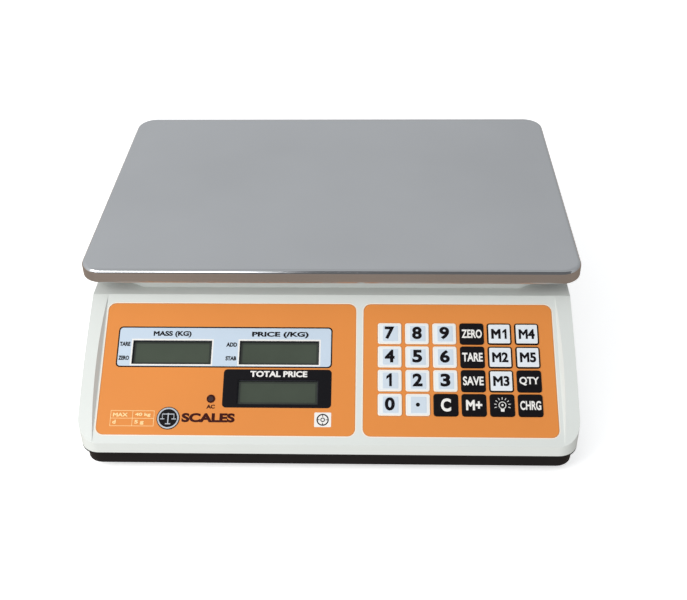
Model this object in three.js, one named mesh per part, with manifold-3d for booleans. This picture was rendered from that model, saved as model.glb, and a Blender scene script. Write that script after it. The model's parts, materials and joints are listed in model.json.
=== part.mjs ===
// Price-computing retail scale: a stainless platter on a four-armed pan support and a load cell,
// over a two-piece plastic body whose sloped front carries the displays and a 24-key keypad.
// Millimetres. +Z is up, the operator stands on the -Y side and +X is the operator's right.
// The origin is on the table, under the middle of the scale.
import * as THREE from 'three';
import { mergeVertices } from 'three/addons/utils/BufferGeometryUtils.js';
import Module from 'manifold-3d';

const wasm = await Module();
wasm.setup();

// ---- Driving dimensions: body ----
const bodyWidth = 327;
const bodyDepth = 321;
const frontCornerRadius = 14;
const rearCornerRadius = 12;
const edgeRadius = 2.5;
const wall = 2.5;
const footGap = 6.2; // table to the underside of the base
const baseBand = 11.8; // dark base seen below the skirt
const baseInset = 3;
const tongueHeight = 3.5; // base wall standing up inside the skirt
const skirtHeight = 8.2;
const slopeAngle = THREE.MathUtils.degToRad(31.49);
const shoulderHeight = 81.1;
const rearLean = 10.5; // how far the rear wall leans in from its foot to its top
const deckRise = 5.3; // raised deck above the shoulder
const deckSetback = 8.6;
const deckChamferRun = 22;
const deckChamferDepth = 12.7;
const deckSideSetback = 11.5;
const seam = 0.3; // gap kept between pieces that touch

// ---- Driving dimensions: platter and pan support ----
const platterWidth = 340;
const platterDepth = 230;
const platterRim = 10;
const platterCornerRadius = 15;
const platterBendRadius = 3;
const platterSheet = 1.2;
const platterRearSetback = 6.2; // from the rear foot of the body
const platterClearance = 7.6; // deck to the lower edge of the rim
const padThickness = 2.7;
const padRadius = 8;
const padStemRadius = 3;
const padStemLength = 5;
const padSpacingX = 240;
const padSpacingY = 160;
const armWidth = 20;
const armHeight = 8;
const hubLength = 28;
const hubWidth = 20;
const hubClearance = 2.7;
const stopRadius = 5;
const stopInsetX = 9;
const stopInsetY = 6;
const hubSeat = 8; // thickness under the bolt heads
const overloadGap = 0.8;
const vialX = -70;
const vialSetback = 26; // behind the top of the panel
const vialRadius = 7;

// ---- Driving dimensions: load cell ----
const cellLength = 130;
const cellWidth = 22;
const cellHeight = 30;
const cellFloorGap = 11.3; // base floor to the underside of the cell
const cellBoltEdge = 8;
const cellBoltSpacing = 14;
const cellBoreRadius = 8;
const cellBoreSpacing = 28;
const cellSlotHeight = 5;
const boltRadius = 3;
const boltHeadRadius = 5;
const boltHeadHeight = 6;
const boltGrip = 15; // thread inside the cell
const boltClearance = 0.5;
const cableRadius = 2;

// ---- Driving dimensions: operator panel (x across, y up the slope, z out of the panel) ----
const cheekWidth = 10.6;
const cheekCrown = 2.2; // rise of the cheeks over the flat panel, half way up
const panelWall = 4.4;
const filmThickness = 0.5;
const filmSink = 0.1;
const filmCornerRadius = 5;
const filmBottomMargin = 6;
const filmTopMargin = 6.8;
const filmSideMargin = 1.5;
const keypadSideMargin = 2.9;
const filmSpacing = 5.1;
const keyColumns = 6;
const keyPitchX = 18.35;
const keyPitchY = 16.55;
const keySpaceX = 2.45;
const keySpaceY = 1.55;
const keyCornerRadius = 1.6;
const keypadMarginX = 9.6;
const circuitMargin = 3;
const keyBottomMargin = 13.9; // film edge to the lowest keys
const keyCrown = 0.5; // key face above the film
const keyTravel = 0.35;
const keySlack = 0.2;
const circuitThickness = 1.25;
const spacerThickness = 1;
const domeHeight = 0.15;
const domeRadius = 4;
const tailWidth = 12;
const tailThickness = 0.4;
const tailLength = 9;
const windowWidth = 54;
const windowHeight = 17.4;
const windowLeft = 18.8; // film edge to the left-hand window
const windowRight = 91.1; // film edge to the right-hand windows
const windowUpper = 48.3; // film edge up to the upper windows
const windowLower = 20.8; // film edge up to the lower window
const windowLip = 0.5; // housing set back around each window
const glassMargin = 3;
const glassThickness = 2.8;
const glassSink = 2.2; // glass below the panel surface
const ledX = 74.3;
const ledY = 24.6;
const ledRadius = 2.5;
const boardThickness = 1.6;
const boardGap = 3; // glass to board
const boardMarginX = 12;
const boardTailGap = 16.5; // board edge to the tail of the switch sheet
const boardMarginY = 8;
const postRadius = 3;
const postInset = 5;
const postY = 30;

// ---- Driving dimensions: rear face (x across, y up the face, z outwards) ----
const rearFilmWidth = 180;
const rearFilmHeight = 36;
const rearFilmBottom = 12;
const rearWindowWidth = 44;
const rearWindowHeight = 17;
const rearWindowPitch = 52;
const rearBoardWidth = 160;
const inletX = 120;
const inletHeight = 26;
const inletWidth = 27;
const inletTall = 20;
const inletDepth = 17;
const inletFlange = 2;
const inletWall = 1.6;
const pinThickness = 2;
const pinHeight = 4;
const pinSink = 4; // pin ends below the face
const earthPin = [0, 5.5];
const livePins = [[-7, 3], [7, 3]];

// ---- Driving dimensions: base, feet, power ----
const footRadius = 13;
const footSink = 3.5; // foot disc inside its recess
const footInsetX = 33.5;
const footInsetY = 32.5;
const footStudRadius = 3;
const footStudTop = 22;
const screwInsetX = 13;
const screwY = 100;
const screwRadius = 2;
const pilotRadius = 1.6;
const screwHeadRadius = 4;
const bossRadius = 5;
const screwGrip = 12;
const batteryLength = 100;
const batteryThickness = 47;
const batteryX = -89.6;
const batteryY = 81.5;
const tabSpacing = 26;
const tabHeight = 7;
const bayHeight = 34;
const ribHeight = 4.3;
const ribThickness = 2;
const ribLength = 200;
const ribPlaces = [-70, -30, 112]; // distance of each floor rib behind the middle
const gripRadius = 9;
const gripInset = 16;
const doorThickness = 2.2;
const cupWall = 4;
const nutWall = 4;
const cupClearance = 1.5;
const transformerX = 98;
const transformerY = 83;
const coreSize = [54, 40, 36];
const coilSize = [30, 52, 24];
const strapSize = [70, 16, 3];
const switchY = 55;
const switchZ = 42;
const switchLength = 21;
const switchTall = 15;
const switchDepth = 14;
const flangeLip = 1.5;
const flangeThickness = 1.5;
const rockerTilt = THREE.MathUtils.degToRad(8);
const rockerHalf = 7.5;
const rockerThick = 4.5;
const rockerRise = 2.2;
const rockerDish = 1.2;
const rockerSink = 2; // pivot below the wall
const rockerClearance = 1.2;

// ---- Derived levels ----
const baseBottom = footGap;
const baseFloor = baseBottom + wall;
const skirtBottom = footGap + baseBand;
const breakHeight = skirtBottom + skirtHeight;
const deckTop = shoulderHeight + deckRise;
const rimBottom = deckTop + platterClearance;
const platterTop = rimBottom + platterRim;
const padTop = platterTop - platterSheet - seam;
const armTop = padTop - padThickness - seam;
const armBottom = armTop - armHeight;
const frontY = -bodyDepth / 2;
const rearY = bodyDepth / 2;
const slopeRise = shoulderHeight - breakHeight;
const slopeLength = slopeRise / Math.sin(slopeAngle);
const panelTopY = frontY + slopeRise / Math.tan(slopeAngle);
const rearTopY = rearY - rearLean;
const rearAngle = Math.atan2(rearLean, slopeRise);
const rearFaceLength = Math.hypot(rearLean, slopeRise);
const platterRear = rearY - platterRearSetback;
const panY = platterRear - platterDepth / 2;
const floorHalf = bodyWidth / 2 - cheekWidth;
const filmY = [filmBottomMargin, slopeLength - filmTopMargin];
const [filmBottom, filmTop] = filmY;
const keypadRight = floorHalf - keypadSideMargin;
const keyWidth = keyPitchX - keySpaceX;
const keyHeight = keyPitchY - keySpaceY;
const keypadLeft = keypadRight - 2 * keypadMarginX - keyColumns * keyPitchX + keySpaceX;
const displayLeft = -floorHalf + filmSideMargin;
const displayRight = keypadLeft - filmSpacing;
const filmBack = -filmSink - filmThickness;
const filmPocket = filmBack - seam;
const circuitTop = filmBack - 0.25;
const circuitBack = circuitTop - circuitThickness;
const keyBack = circuitTop - spacerThickness + domeHeight + keyTravel + 0.05;
const glassBack = -glassSink - glassThickness;
const boardTop = glassBack - boardGap;
const cellBottom = baseFloor + cellFloorGap;
const cellTop = cellBottom + cellHeight;
const cellFixedX = -cellLength / 2;
const hubX = cellLength / 2 - cellBoltEdge - cellBoltSpacing / 2;
const fixedBolts = [cellBoltEdge, cellBoltEdge + cellBoltSpacing].map((x) => cellFixedX + x);
const freeBolts = fixedBolts.map((x) => -x);
const corners = [['front_left', -1, -1], ['front_right', 1, -1], ['rear_left', -1, 1], ['rear_right', 1, 1]];

// ---- Frames of the sloped panel and the rear face ----
const panelFrame = new THREE.Matrix4().makeRotationX(slopeAngle).setPosition(0, frontY, breakHeight);
const rearFrame = new THREE.Matrix4()
  .makeBasis(
    new THREE.Vector3(-1, 0, 0),
    new THREE.Vector3(0, -Math.sin(rearAngle), Math.cos(rearAngle)),
    new THREE.Vector3(0, Math.cos(rearAngle), Math.sin(rearAngle)),
  )
  .setPosition(0, rearY, breakHeight);
const world = new THREE.Matrix4();

// ---- Solids ----
function solid(geometry, frame = world) {
  geometry.deleteAttribute('normal');
  geometry.deleteAttribute('uv');
  geometry.applyMatrix4(frame);
  const merged = mergeVertices(geometry, 1e-4);
  const vertProperties = merged.attributes.position.array;
  const triVerts = Uint32Array.from(merged.index.array);
  return new wasm.Manifold(new wasm.Mesh({ numProp: 3, vertProperties, triVerts }));
}

function block([x0, x1], [y0, y1], [z0, z1], frame) {
  const geometry = new THREE.BoxGeometry(x1 - x0, y1 - y0, z1 - z0);
  geometry.translate((x0 + x1) / 2, (y0 + y1) / 2, (z0 + z1) / 2);
  return solid(geometry, frame);
}

function rod([x, y], radius, [z0, z1], sides = 16, frame = undefined, topRadius = radius) {
  const geometry = new THREE.CylinderGeometry(topRadius, radius, z1 - z0, sides);
  geometry.rotateX(Math.PI / 2);
  geometry.translate(x, y, (z0 + z1) / 2);
  return solid(geometry, frame);
}

function plate(shape, [z0, z1], curveSegments = 2, frame = undefined) {
  const settings = { depth: z1 - z0, bevelEnabled: false, curveSegments };
  const geometry = new THREE.ExtrudeGeometry(shape, settings);
  geometry.translate(0, 0, z0);
  return solid(geometry, frame);
}

// A section in the Y-Z plane, drawn as (y, z) and extruded along X.
function sideProfile(shape, [x0, x1], curveSegments = 1) {
  const settings = { depth: x1 - x0, bevelEnabled: false, curveSegments };
  const geometry = new THREE.ExtrudeGeometry(shape, settings);
  geometry.translate(0, 0, x0);
  const [x, y, z] = [new THREE.Vector3(1, 0, 0), new THREE.Vector3(0, 1, 0), new THREE.Vector3(0, 0, 1)];
  return solid(geometry, new THREE.Matrix4().makeBasis(y, z, x));
}

const join = (first, ...others) => others.reduce((body, other) => body.add(other), first);
const cut = (body, ...tools) => tools.reduce((rest, tool) => rest.subtract(tool), body);

// A closed outline through corners given as [x, y, radius], each rounded by an arc.
function roundedShape(points) {
  const shape = new THREE.Shape();
  points.forEach(([x, y, radius], i) => {
    const corner = new THREE.Vector2(x, y);
    const [px, py] = points.at(i - 1);
    const [nx, ny] = points[(i + 1) % points.length];
    const back = new THREE.Vector2(px, py).sub(corner).normalize();
    const ahead = new THREE.Vector2(nx, ny).sub(corner).normalize();
    const half = Math.acos(THREE.MathUtils.clamp(back.dot(ahead), -1, 1)) / 2;
    const reach = radius / Math.tan(half);
    const start = back.clone().multiplyScalar(reach).add(corner);
    if (i === 0) shape.moveTo(start.x, start.y);
    else shape.lineTo(start.x, start.y);
    if (radius === 0) return;
    const middle = back.clone().add(ahead).setLength(radius / Math.sin(half)).add(corner);
    const end = ahead.clone().multiplyScalar(reach).add(corner);
    const from = Math.atan2(start.y - middle.y, start.x - middle.x);
    const to = Math.atan2(end.y - middle.y, end.x - middle.x);
    shape.absarc(middle.x, middle.y, radius, from, to, back.cross(ahead) > 0);
  });
  return shape;
}

function roundedRect([x0, x1], [y0, y1], radius) {
  return roundedShape([[x0, y0, radius], [x1, y0, radius], [x1, y1, radius], [x0, y1, radius]]);
}

// The body's plan outline, pulled in all round by an inset.
function bodyOutline(inset) {
  const [x, y] = [bodyWidth / 2 - inset, bodyDepth / 2 - inset];
  const front = frontCornerRadius - inset;
  const rear = rearCornerRadius - inset;
  return roundedShape([[-x, -y, front], [x, -y, front], [x, y, rear], [-x, y, rear]]);
}

// The raised deck's outline, with its four corners cut off at a shallow angle.
function deckOutline(inset) {
  const x = bodyWidth / 2 - deckSideSetback - inset;
  const front = panelTopY + deckSetback + inset;
  const rear = rearTopY - deckSetback - inset;
  const cutX = x - deckChamferRun;
  const cutY = deckChamferDepth;
  return roundedShape([
    [-cutX, front, 0], [cutX, front, 0], [x, front + cutY, 0], [x, rear - cutY, 0],
    [cutX, rear, 0], [-cutX, rear, 0], [-x, rear - cutY, 0], [-x, front + cutY, 0],
  ]);
}

// ---- Materials ----
function finish(color, roughness, metalness = 0) {
  return new THREE.MeshStandardMaterial({ color, roughness, metalness });
}
const whitePlastic = finish(0xe3e7e4, 0.45);
const blackPlastic = finish(0x232122, 0.5);
const stainless = finish(0xb4b8bb, 0.32, 1);
const castAluminium = finish(0xa7a9ac, 0.45, 1);
const machinedAluminium = finish(0xc4c7ca, 0.35, 1);
const zincSteel = finish(0xb9bcc0, 0.4, 1);
const darkSteel = finish(0x4b4d50, 0.5, 1);
const orangeFilm = finish(0xe88a46, 0.38);
const blackFilm = finish(0x1b191c, 0.35);
const paleKey = finish(0xe6ebf0, 0.4);
const darkKey = finish(0x1d191d, 0.4);
const liquidCrystal = finish(0x5c6559, 0.2);
const greenBoard = finish(0x1f5d3a, 0.5);
const redLens = finish(0x5a1512, 0.15);
const rubber = finish(0x1c1c1d, 0.85);
const batteryCase = finish(0x2b2e33, 0.5);
const cableSheath = finish(0x2a2a2c, 0.7);
const clearVial = finish(0xb9d46a, 0.08);
const membrane = finish(0xcfd3d6, 0.45);

const group = new THREE.Group();
const panel = new THREE.Group();
const rearFace = new THREE.Group();
panelFrame.decompose(panel.position, panel.quaternion, panel.scale);
rearFrame.decompose(rearFace.position, rearFace.quaternion, rearFace.scale);
group.add(panel, rearFace);

function add(name, body, material, parent = group, place = [0, 0, 0]) {
  const { vertProperties, triVerts } = body.getMesh();
  const geometry = new THREE.BufferGeometry();
  geometry.setAttribute('position', new THREE.BufferAttribute(vertProperties, 3));
  geometry.setIndex(new THREE.BufferAttribute(triVerts, 1));
  geometry.computeVertexNormals();
  const mesh = new THREE.Mesh(geometry, material);
  mesh.name = name;
  mesh.position.set(...place);
  parent.add(mesh);
}

// ---- Layout of windows and keys on the panel ----
const windows = [
  ['lcd_weight', windowLeft, windowUpper],
  ['lcd_unit_price', windowRight, windowUpper],
  ['lcd_total', windowRight, windowLower],
].map(([name, x, y]) => ({ name, x: displayLeft + x, y: filmBottom + y }));
const windowSpan = ({ x, y }, grow) => [
  [x - grow, x + windowWidth + grow],
  [y - grow, y + windowHeight + grow],
];
const led = [displayLeft + ledX, filmBottom + ledY];

const keyRows = [
  ['key_0', 'key_point', 'key_clear', 'key_m_plus', 'key_light', 'key_charge'],
  ['key_1', 'key_2', 'key_3', 'key_save', 'key_m3', 'key_quantity'],
  ['key_4', 'key_5', 'key_6', 'key_tare', 'key_m2', 'key_m5'],
  ['key_7', 'key_8', 'key_9', 'key_zero', 'key_m1', 'key_m4'],
];
const darkKeys = [
  'key_clear', 'key_m_plus', 'key_light', 'key_charge', 'key_save', 'key_quantity', 'key_tare', 'key_zero',
];
const keys = keyRows.flatMap((row, j) => row.map((name, i) => ({
  name,
  x: keypadLeft + keypadMarginX + keyWidth / 2 + i * keyPitchX,
  y: filmBottom + keyBottomMargin + keyHeight / 2 + j * keyPitchY,
})));
const keySpan = ({ x, y }, grow) => [
  [x - keyWidth / 2 - grow, x + keyWidth / 2 + grow],
  [y - keyHeight / 2 - grow, y + keyHeight / 2 + grow],
];
const circuitX = [keypadLeft + circuitMargin, keypadRight - circuitMargin];
const circuitY = [filmBottom + circuitMargin, filmTop - circuitMargin];
const tailX = [circuitX[0] + 1, circuitX[0] + 1 + tailThickness];
const boardX = [displayLeft + boardMarginX, tailX[0] - boardTailGap];
const boardY = [filmBottom + boardMarginY, filmTop - boardMarginY];
const cableEndX = boardX[0] + 40;
const socketDepth = 7;
const tailMiddle = (circuitY[0] + circuitY[1]) / 2;
const tailY = [tailMiddle - tailWidth / 2, tailMiddle + tailWidth / 2];
const grown = ([low, high], by) => [low - by, high + by];

// ---- Housing ----
// The front, top and rear corners of the side section, pulled in from the outside by an inset,
// and from the sloped panel by one of its own.
function bodySection(inset, slopeInset) {
  const y = bodyDepth / 2 - inset;
  const top = shoulderHeight - inset;
  const slopeDrop = slopeInset / Math.cos(slopeAngle);
  const lowFront = breakHeight - slopeDrop + inset * Math.tan(slopeAngle);
  const topFront = frontY + (top - breakHeight + slopeDrop) / Math.tan(slopeAngle);
  const rearTop = rearTopY + inset * Math.tan(rearAngle) - inset / Math.cos(rearAngle);
  const r = inset === 0 ? edgeRadius : 0;
  return [[-y, lowFront, r], [topFront, top, r], [rearTop, top, r], [y, breakHeight, r]];
}

// The cheeks beside the panel rise in a shallow arc between its lower and upper edges.
function outerBody() {
  const [low, front, rear, foot] = bodySection(0, 0);
  const steps = 6;
  const rise = Array.from({ length: steps - 1 }, (_, i) => {
    const share = (i + 1) / steps;
    const crown = 4 * cheekCrown * share * (1 - share);
    return [
      low[0] + share * (front[0] - low[0]) - crown * Math.sin(slopeAngle),
      low[1] + share * (front[1] - low[1]) + crown * Math.cos(slopeAngle),
      0,
    ];
  });
  const section = roundedShape([
    [frontY, skirtBottom, 0], [rearY, skirtBottom, 0], foot, rear, front, ...rise.reverse(), low,
  ]);
  const half = bodyWidth / 2;
  const lump = sideProfile(section, [-half, half]);
  return lump.intersect(plate(bodyOutline(0), [skirtBottom - 1, deckTop], 3));
}

function innerBody() {
  const [low, front, rear, foot] = bodySection(wall, panelWall);
  const under = skirtBottom - 1;
  const section = roundedShape([[low[0], under, 0], [foot[0], under, 0], foot, rear, front, low]);
  const half = bodyWidth / 2 - wall;
  const hollow = sideProfile(section, [-half, half]);
  return hollow.intersect(plate(bodyOutline(wall), [under - 1, deckTop], 3));
}

// The flat panel floor between the cheeks, with walls that lean outwards at 45 degrees.
function panelRecess() {
  const reach = cheekCrown + 1;
  const shape = roundedShape([
    [-floorHalf, 0, 0], [floorHalf, 0, 0], [floorHalf + reach, reach, 0], [-floorHalf - reach, reach, 0],
  ]);
  const geometry = new THREE.ExtrudeGeometry(shape, { depth: slopeLength, bevelEnabled: false });
  geometry.rotateX(Math.PI / 2);
  geometry.translate(0, slopeLength, 0);
  return solid(geometry, panelFrame);
}

const screwPlaces = corners.map(([, sx, sy]) => [sx * (bodyWidth / 2 - screwInsetX), sy * screwY]);
const stopPlaces = corners.map(([, sx, sy]) => [
  sx * (padSpacingX / 2 - stopInsetX),
  panY + sy * (padSpacingY / 2 - stopInsetY),
]);
const hubSpanX = [hubX - hubLength / 2, hubX + hubLength / 2];
const hubSpanY = [panY - hubWidth / 2, panY + hubWidth / 2];
const vial = [vialX, panelTopY + vialSetback];
const switchSpanY = [switchY - switchLength / 2, switchY + switchLength / 2];
const switchSpanZ = [switchZ - switchTall / 2, switchZ + switchTall / 2];
const inletSpanX = [-inletX - inletWidth / 2, -inletX + inletWidth / 2];
const inletSpanY = [inletHeight - inletTall / 2, inletHeight + inletTall / 2];
const rearFilmX = [-rearFilmWidth / 2, rearFilmWidth / 2];
const rearFilmY = [rearFilmBottom, rearFilmBottom + rearFilmHeight];
const rearMiddle = (rearFilmY[0] + rearFilmY[1]) / 2;
const rearWindows = [-1, 0, 1].map((i) => [
  [i * rearWindowPitch - rearWindowWidth / 2, i * rearWindowPitch + rearWindowWidth / 2],
  [rearMiddle - rearWindowHeight / 2, rearMiddle + rearWindowHeight / 2],
]);

function upperHousing() {
  const deck = plate(deckOutline(0), [shoulderHeight - 1, deckTop]);
  const deckHollow = plate(deckOutline(wall), [shoulderHeight - wall - 1, deckTop - wall]);
  const bossBottom = skirtBottom + tongueHeight + seam;
  const roof = deckTop - wall / 2;
  const bosses = screwPlaces.map((place) => rod(place, bossRadius - 1, [bossBottom, roof], 10));
  const filledBosses = bosses.map((boss) => boss.intersect(outerBody()));
  const pilots = screwPlaces.map((place) => (
    rod(place, pilotRadius, [bossBottom - 1, bossBottom + screwGrip], 8)
  ));
  const stops = stopPlaces.map((place) => rod(place, stopRadius, [deckTop - 1, armBottom - overloadGap], 12));
  const posts = [boardX[0] + postInset, displayLeft + windowRight - glassMargin - 2 * postRadius]
    .map((x) => rod([x, postY], postRadius, [boardTop + seam, 0.5 - panelWall], 8, panelFrame));
  const skin = cut(outerBody().add(deck), innerBody(), deckHollow);
  const shell = join(skin, ...filledBosses, ...stops, ...posts);
  const filmHollows = [[displayLeft, displayRight], [keypadLeft, keypadRight]].map((span) => {
    const outline = roundedRect(grown(span, seam), grown(filmY, seam), filmCornerRadius + seam);
    return plate(outline, [filmPocket, 1], 2, panelFrame);
  });
  const circuitHollow = block(
    grown(circuitX, seam), grown(circuitY, seam), [circuitBack - seam, 0], panelFrame,
  );
  const tailSlot = block(grown(tailX, seam), grown(tailY, seam), [-panelWall - 1, 0], panelFrame);
  const apertures = windows.map((w) => block(...windowSpan(w, windowLip), [-panelWall - 1, 0], panelFrame));
  const glassSeats = windows.map((w) => (
    block(...windowSpan(w, glassMargin + seam), [-panelWall - 1, -glassSink + seam], panelFrame)
  ));
  const ledHole = rod(led, ledRadius + seam, [-panelWall - 1, 0], 12, panelFrame);
  const rearHollow = plate(
    roundedRect(grown(rearFilmX, seam), grown(rearFilmY, seam), filmCornerRadius + seam),
    [filmPocket, 1], 2, rearFrame,
  );
  const rearApertures = rearWindows.map(([x, y]) => (
    block(grown(x, windowLip), grown(y, windowLip), [-wall - 1, 0], rearFrame)
  ));
  const hubHole = block(
    grown(hubSpanX, hubClearance), grown(hubSpanY, hubClearance), [shoulderHeight, deckTop + 1],
  );
  const vialHole = rod(vial, vialRadius + seam, [shoulderHeight, deckTop + 1], 16);
  const switchHole = block(
    [bodyWidth / 2 - wall - 1, bodyWidth / 2 + 1], grown(switchSpanY, seam), grown(switchSpanZ, seam),
  );
  const inletHole = block(grown(inletSpanX, seam), grown(inletSpanY, seam), [-wall - 1, 1], rearFrame);
  return cut(
    shell, panelRecess(), ...pilots, ...filmHollows, circuitHollow, tailSlot, ...apertures, ...glassSeats,
    ledHole, rearHollow, ...rearApertures, hubHole, vialHole, switchHole, inletHole,
  );
}

// ---- Base ----
const footPlaces = corners.map(([name, sx, sy]) => [
  name,
  [sx * (bodyWidth / 2 - footInsetX), sy * (bodyDepth / 2 - footInsetY)],
]);
const batterySpanX = [batteryX - batteryLength / 2, batteryX + batteryLength / 2];
const batterySpanY = [batteryY - batteryThickness / 2, batteryY + batteryThickness / 2];
const pedestalX = [cellFixedX - 1, fixedBolts[1] + cellBoltEdge];
const pedestalY = grown([panY - cellWidth / 2, panY + cellWidth / 2], 2);

function baseShell() {
  const top = skirtBottom + tongueHeight;
  const tub = plate(bodyOutline(baseInset), [baseBottom, top], 3);
  const inside = plate(bodyOutline(baseInset + wall), [baseFloor, top + 1], 3);
  const bosses = screwPlaces.map((place) => rod(place, bossRadius, [baseFloor - 1, top], 10));
  const screwHoles = screwPlaces.map((place) => rod(place, screwRadius, [0, top + 1], 8));
  const headHoles = screwPlaces.map((place) => rod(place, screwHeadRadius, [0, top - 8], 10));
  const cupTop = baseBottom + footSink + seam + wall;
  const cups = footPlaces.map(([, place]) => rod(place, footRadius + cupWall, [baseBottom, cupTop], 16));
  const nuts = footPlaces.map(([, place]) => (
    rod(place, footStudRadius + nutWall, [cupTop - 1, footStudTop], 10)
  ));
  const cupHoles = footPlaces.map(([, place]) => (
    rod(place, footRadius + cupClearance, [0, cupTop - wall], 16)
  ));
  const studHoles = footPlaces.map(([, place]) => (
    rod(place, footStudRadius + seam, [0, footStudTop + 1], 10)
  ));
  const pedestal = block(pedestalX, pedestalY, [baseFloor - 1, cellBottom - seam]);
  const stopPost = rod([hubX, panY], stopRadius + 2, [baseFloor - 1, cellBottom - overloadGap], 12);
  const boltHoles = fixedBolts.map((x) => rod([x, panY], boltRadius + seam, [0, cellBottom], 12));
  const boltSinks = fixedBolts.map((x) => (
    rod([x, panY], boltHeadRadius + boltClearance, [0, baseBottom + boltHeadHeight + boltClearance], 12)
  ));
  const bay = block(
    grown(batterySpanX, seam + wall), grown(batterySpanY, seam + wall), [baseFloor - 1, bayHeight],
  );
  const bayHole = block(grown(batterySpanX, seam), grown(batterySpanY, seam), [0, bayHeight + 1]);
  const ribs = ribPlaces.map((y) => (
    block([-ribLength / 2, ribLength / 2], [y, y + ribThickness], [baseFloor - 1, baseFloor + ribHeight])
  ));
  return cut(
    join(cut(tub, inside), ...bosses, ...cups, ...nuts, pedestal, stopPost, bay, ...ribs),
    ...screwHoles, ...headHoles, ...cupHoles, ...studHoles, ...boltHoles, ...boltSinks, bayHole,
  );
}

// A levelling foot: a disc with a chamfered rubber sole, on a threaded stud.
function foot() {
  const discTop = footGap + footSink;
  return join(
    rod([0, 0], footRadius - 1.5, [0, 1.6], 18, world, footRadius),
    rod([0, 0], footRadius, [1.5, discTop], 18),
    rod([0, 0], footStudRadius, [discTop - 1, footStudTop - 1], 10),
  );
}

function batteryDoor() {
  const lid = block(batterySpanX, batterySpanY, [baseBottom, baseBottom + doorThickness]);
  const grip = [batterySpanX[0] + gripInset, batteryY];
  return cut(lid, rod(grip, gripRadius, [0, baseBottom + doorThickness / 2], 16));
}

// Sealed battery with a raised lid and two blade terminals.
function battery() {
  const tabX = [batterySpanX[1] - 14, batterySpanX[1] - 8];
  const low = baseBottom + doorThickness + seam;
  const high = low + batteryThickness;
  const body = block(grown(batterySpanX, -0.5), grown(batterySpanY, -0.5), [low, high]);
  const cap = block(grown(batterySpanX, -4), grown(batterySpanY, -4), [high - 1, high + 2]);
  const tabs = [-1, 1].map((side) => batteryY + side * tabSpacing / 2).map((y) => (
    block(tabX, grown([y, y], 0.5), [high, high + tabHeight])
  ));
  return join(body, cap, ...tabs);
}

// A laminated core round a coil, on a mounting strap.
function transformer() {
  const low = baseFloor + seam;
  const part = ([length, width, height], lift) => block(
    grown([transformerX, transformerX], length / 2), grown([transformerY, transformerY], width / 2),
    [low + lift, low + lift + height],
  );
  return join(part(coreSize, 2), part(coilSize, 8), part(strapSize, 0));
}

// ---- Load path ----
function loadCell() {
  const y = [panY - cellWidth / 2, panY + cellWidth / 2];
  const body = block([cellFixedX, -cellFixedX], y, [cellBottom, cellTop]);
  const middle = (cellBottom + cellTop) / 2;
  const across = new THREE.Matrix4().makeRotationX(-Math.PI / 2);
  const bores = [-1, 1].map((side) => (
    rod([(side * cellBoreSpacing) / 2, -middle], cellBoreRadius, [y[0] - 1, y[1] + 1], 16, across)
  ));
  const slot = block(
    [-cellBoreSpacing / 2, cellBoreSpacing / 2], [y[0] - 1, y[1] + 1],
    grown([middle, middle], cellSlotHeight / 2),
  );
  const holeRadius = boltRadius + seam;
  const lowHoles = fixedBolts.map((x) => rod([x, panY], holeRadius, [0, cellBottom + boltGrip + 1], 12));
  const highHoles = freeBolts.map((x) => (
    rod([x, panY], holeRadius, [cellTop - boltGrip - 1, platterTop], 12)
  ));
  return cut(body, ...bores, slot, ...lowHoles, ...highHoles);
}

const hubFloor = cellTop + seam + hubSeat;

function cellBolt(seat, direction, x) {
  const tip = direction > 0 ? cellBottom + boltGrip : cellTop - boltGrip;
  const shank = [Math.min(seat, tip), Math.max(seat, tip)];
  const head = direction > 0 ? [seat - boltHeadHeight, seat] : [seat, seat + boltHeadHeight];
  const socket = direction > 0 ? [0, seat - boltHeadHeight / 2] : [seat + boltHeadHeight / 2, platterTop];
  return cut(
    join(rod([x, panY], boltRadius, shank, 12), rod([x, panY], boltHeadRadius, head, 12)),
    rod([x, panY], boltHeadRadius / 2, socket, 6),
  );
}

// Four arms on a hub that stands on the free end of the load cell.
function panSupport() {
  const reachX = padSpacingX / 2;
  const reachY = padSpacingY / 2;
  const armLength = Math.hypot(reachX, reachY);
  const arms = corners.map(([, sx, sy]) => {
    const bearing = Math.atan2(sy * reachY, sx * reachX);
    const turn = new THREE.Matrix4().makeRotationZ(bearing).setPosition(0, panY, 0);
    return block([0, armLength], [-armWidth / 2, armWidth / 2], [armBottom, armTop], turn);
  });
  const pads = corners.map(([, sx, sy]) => (
    rod([sx * reachX, panY + sy * reachY], armWidth / 2 + 2, [armBottom, armTop], 16)
  ));
  const plateX = [-hubSpanX[1], hubSpanX[1]];
  const centre = block(plateX, grown(hubSpanY, 8), [armBottom, armTop]);
  const hub = block(hubSpanX, hubSpanY, [cellTop + seam, armTop]);
  const headHoles = freeBolts.map((x) => (
    rod([x, panY], boltHeadRadius + boltClearance, [hubFloor, armTop + 1], 12)
  ));
  const shankHoles = freeBolts.map((x) => rod([x, panY], boltRadius + seam, [cellTop, hubFloor + 1], 12));
  const stemHoles = corners.map(([, sx, sy]) => (
    rod([sx * reachX, panY + sy * reachY], padStemRadius + seam, [armTop - padStemLength - 1, armTop + 1], 10)
  ));
  return cut(join(centre, hub, ...arms, ...pads), ...headHoles, ...shankHoles, ...stemHoles);
}

function panPad([x, y]) {
  const low = armTop + seam;
  return join(
    rod([x, y], padRadius, [low, padTop], 14),
    rod([x, y], padStemRadius, [armTop - padStemLength, low + 1], 8),
  );
}

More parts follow.
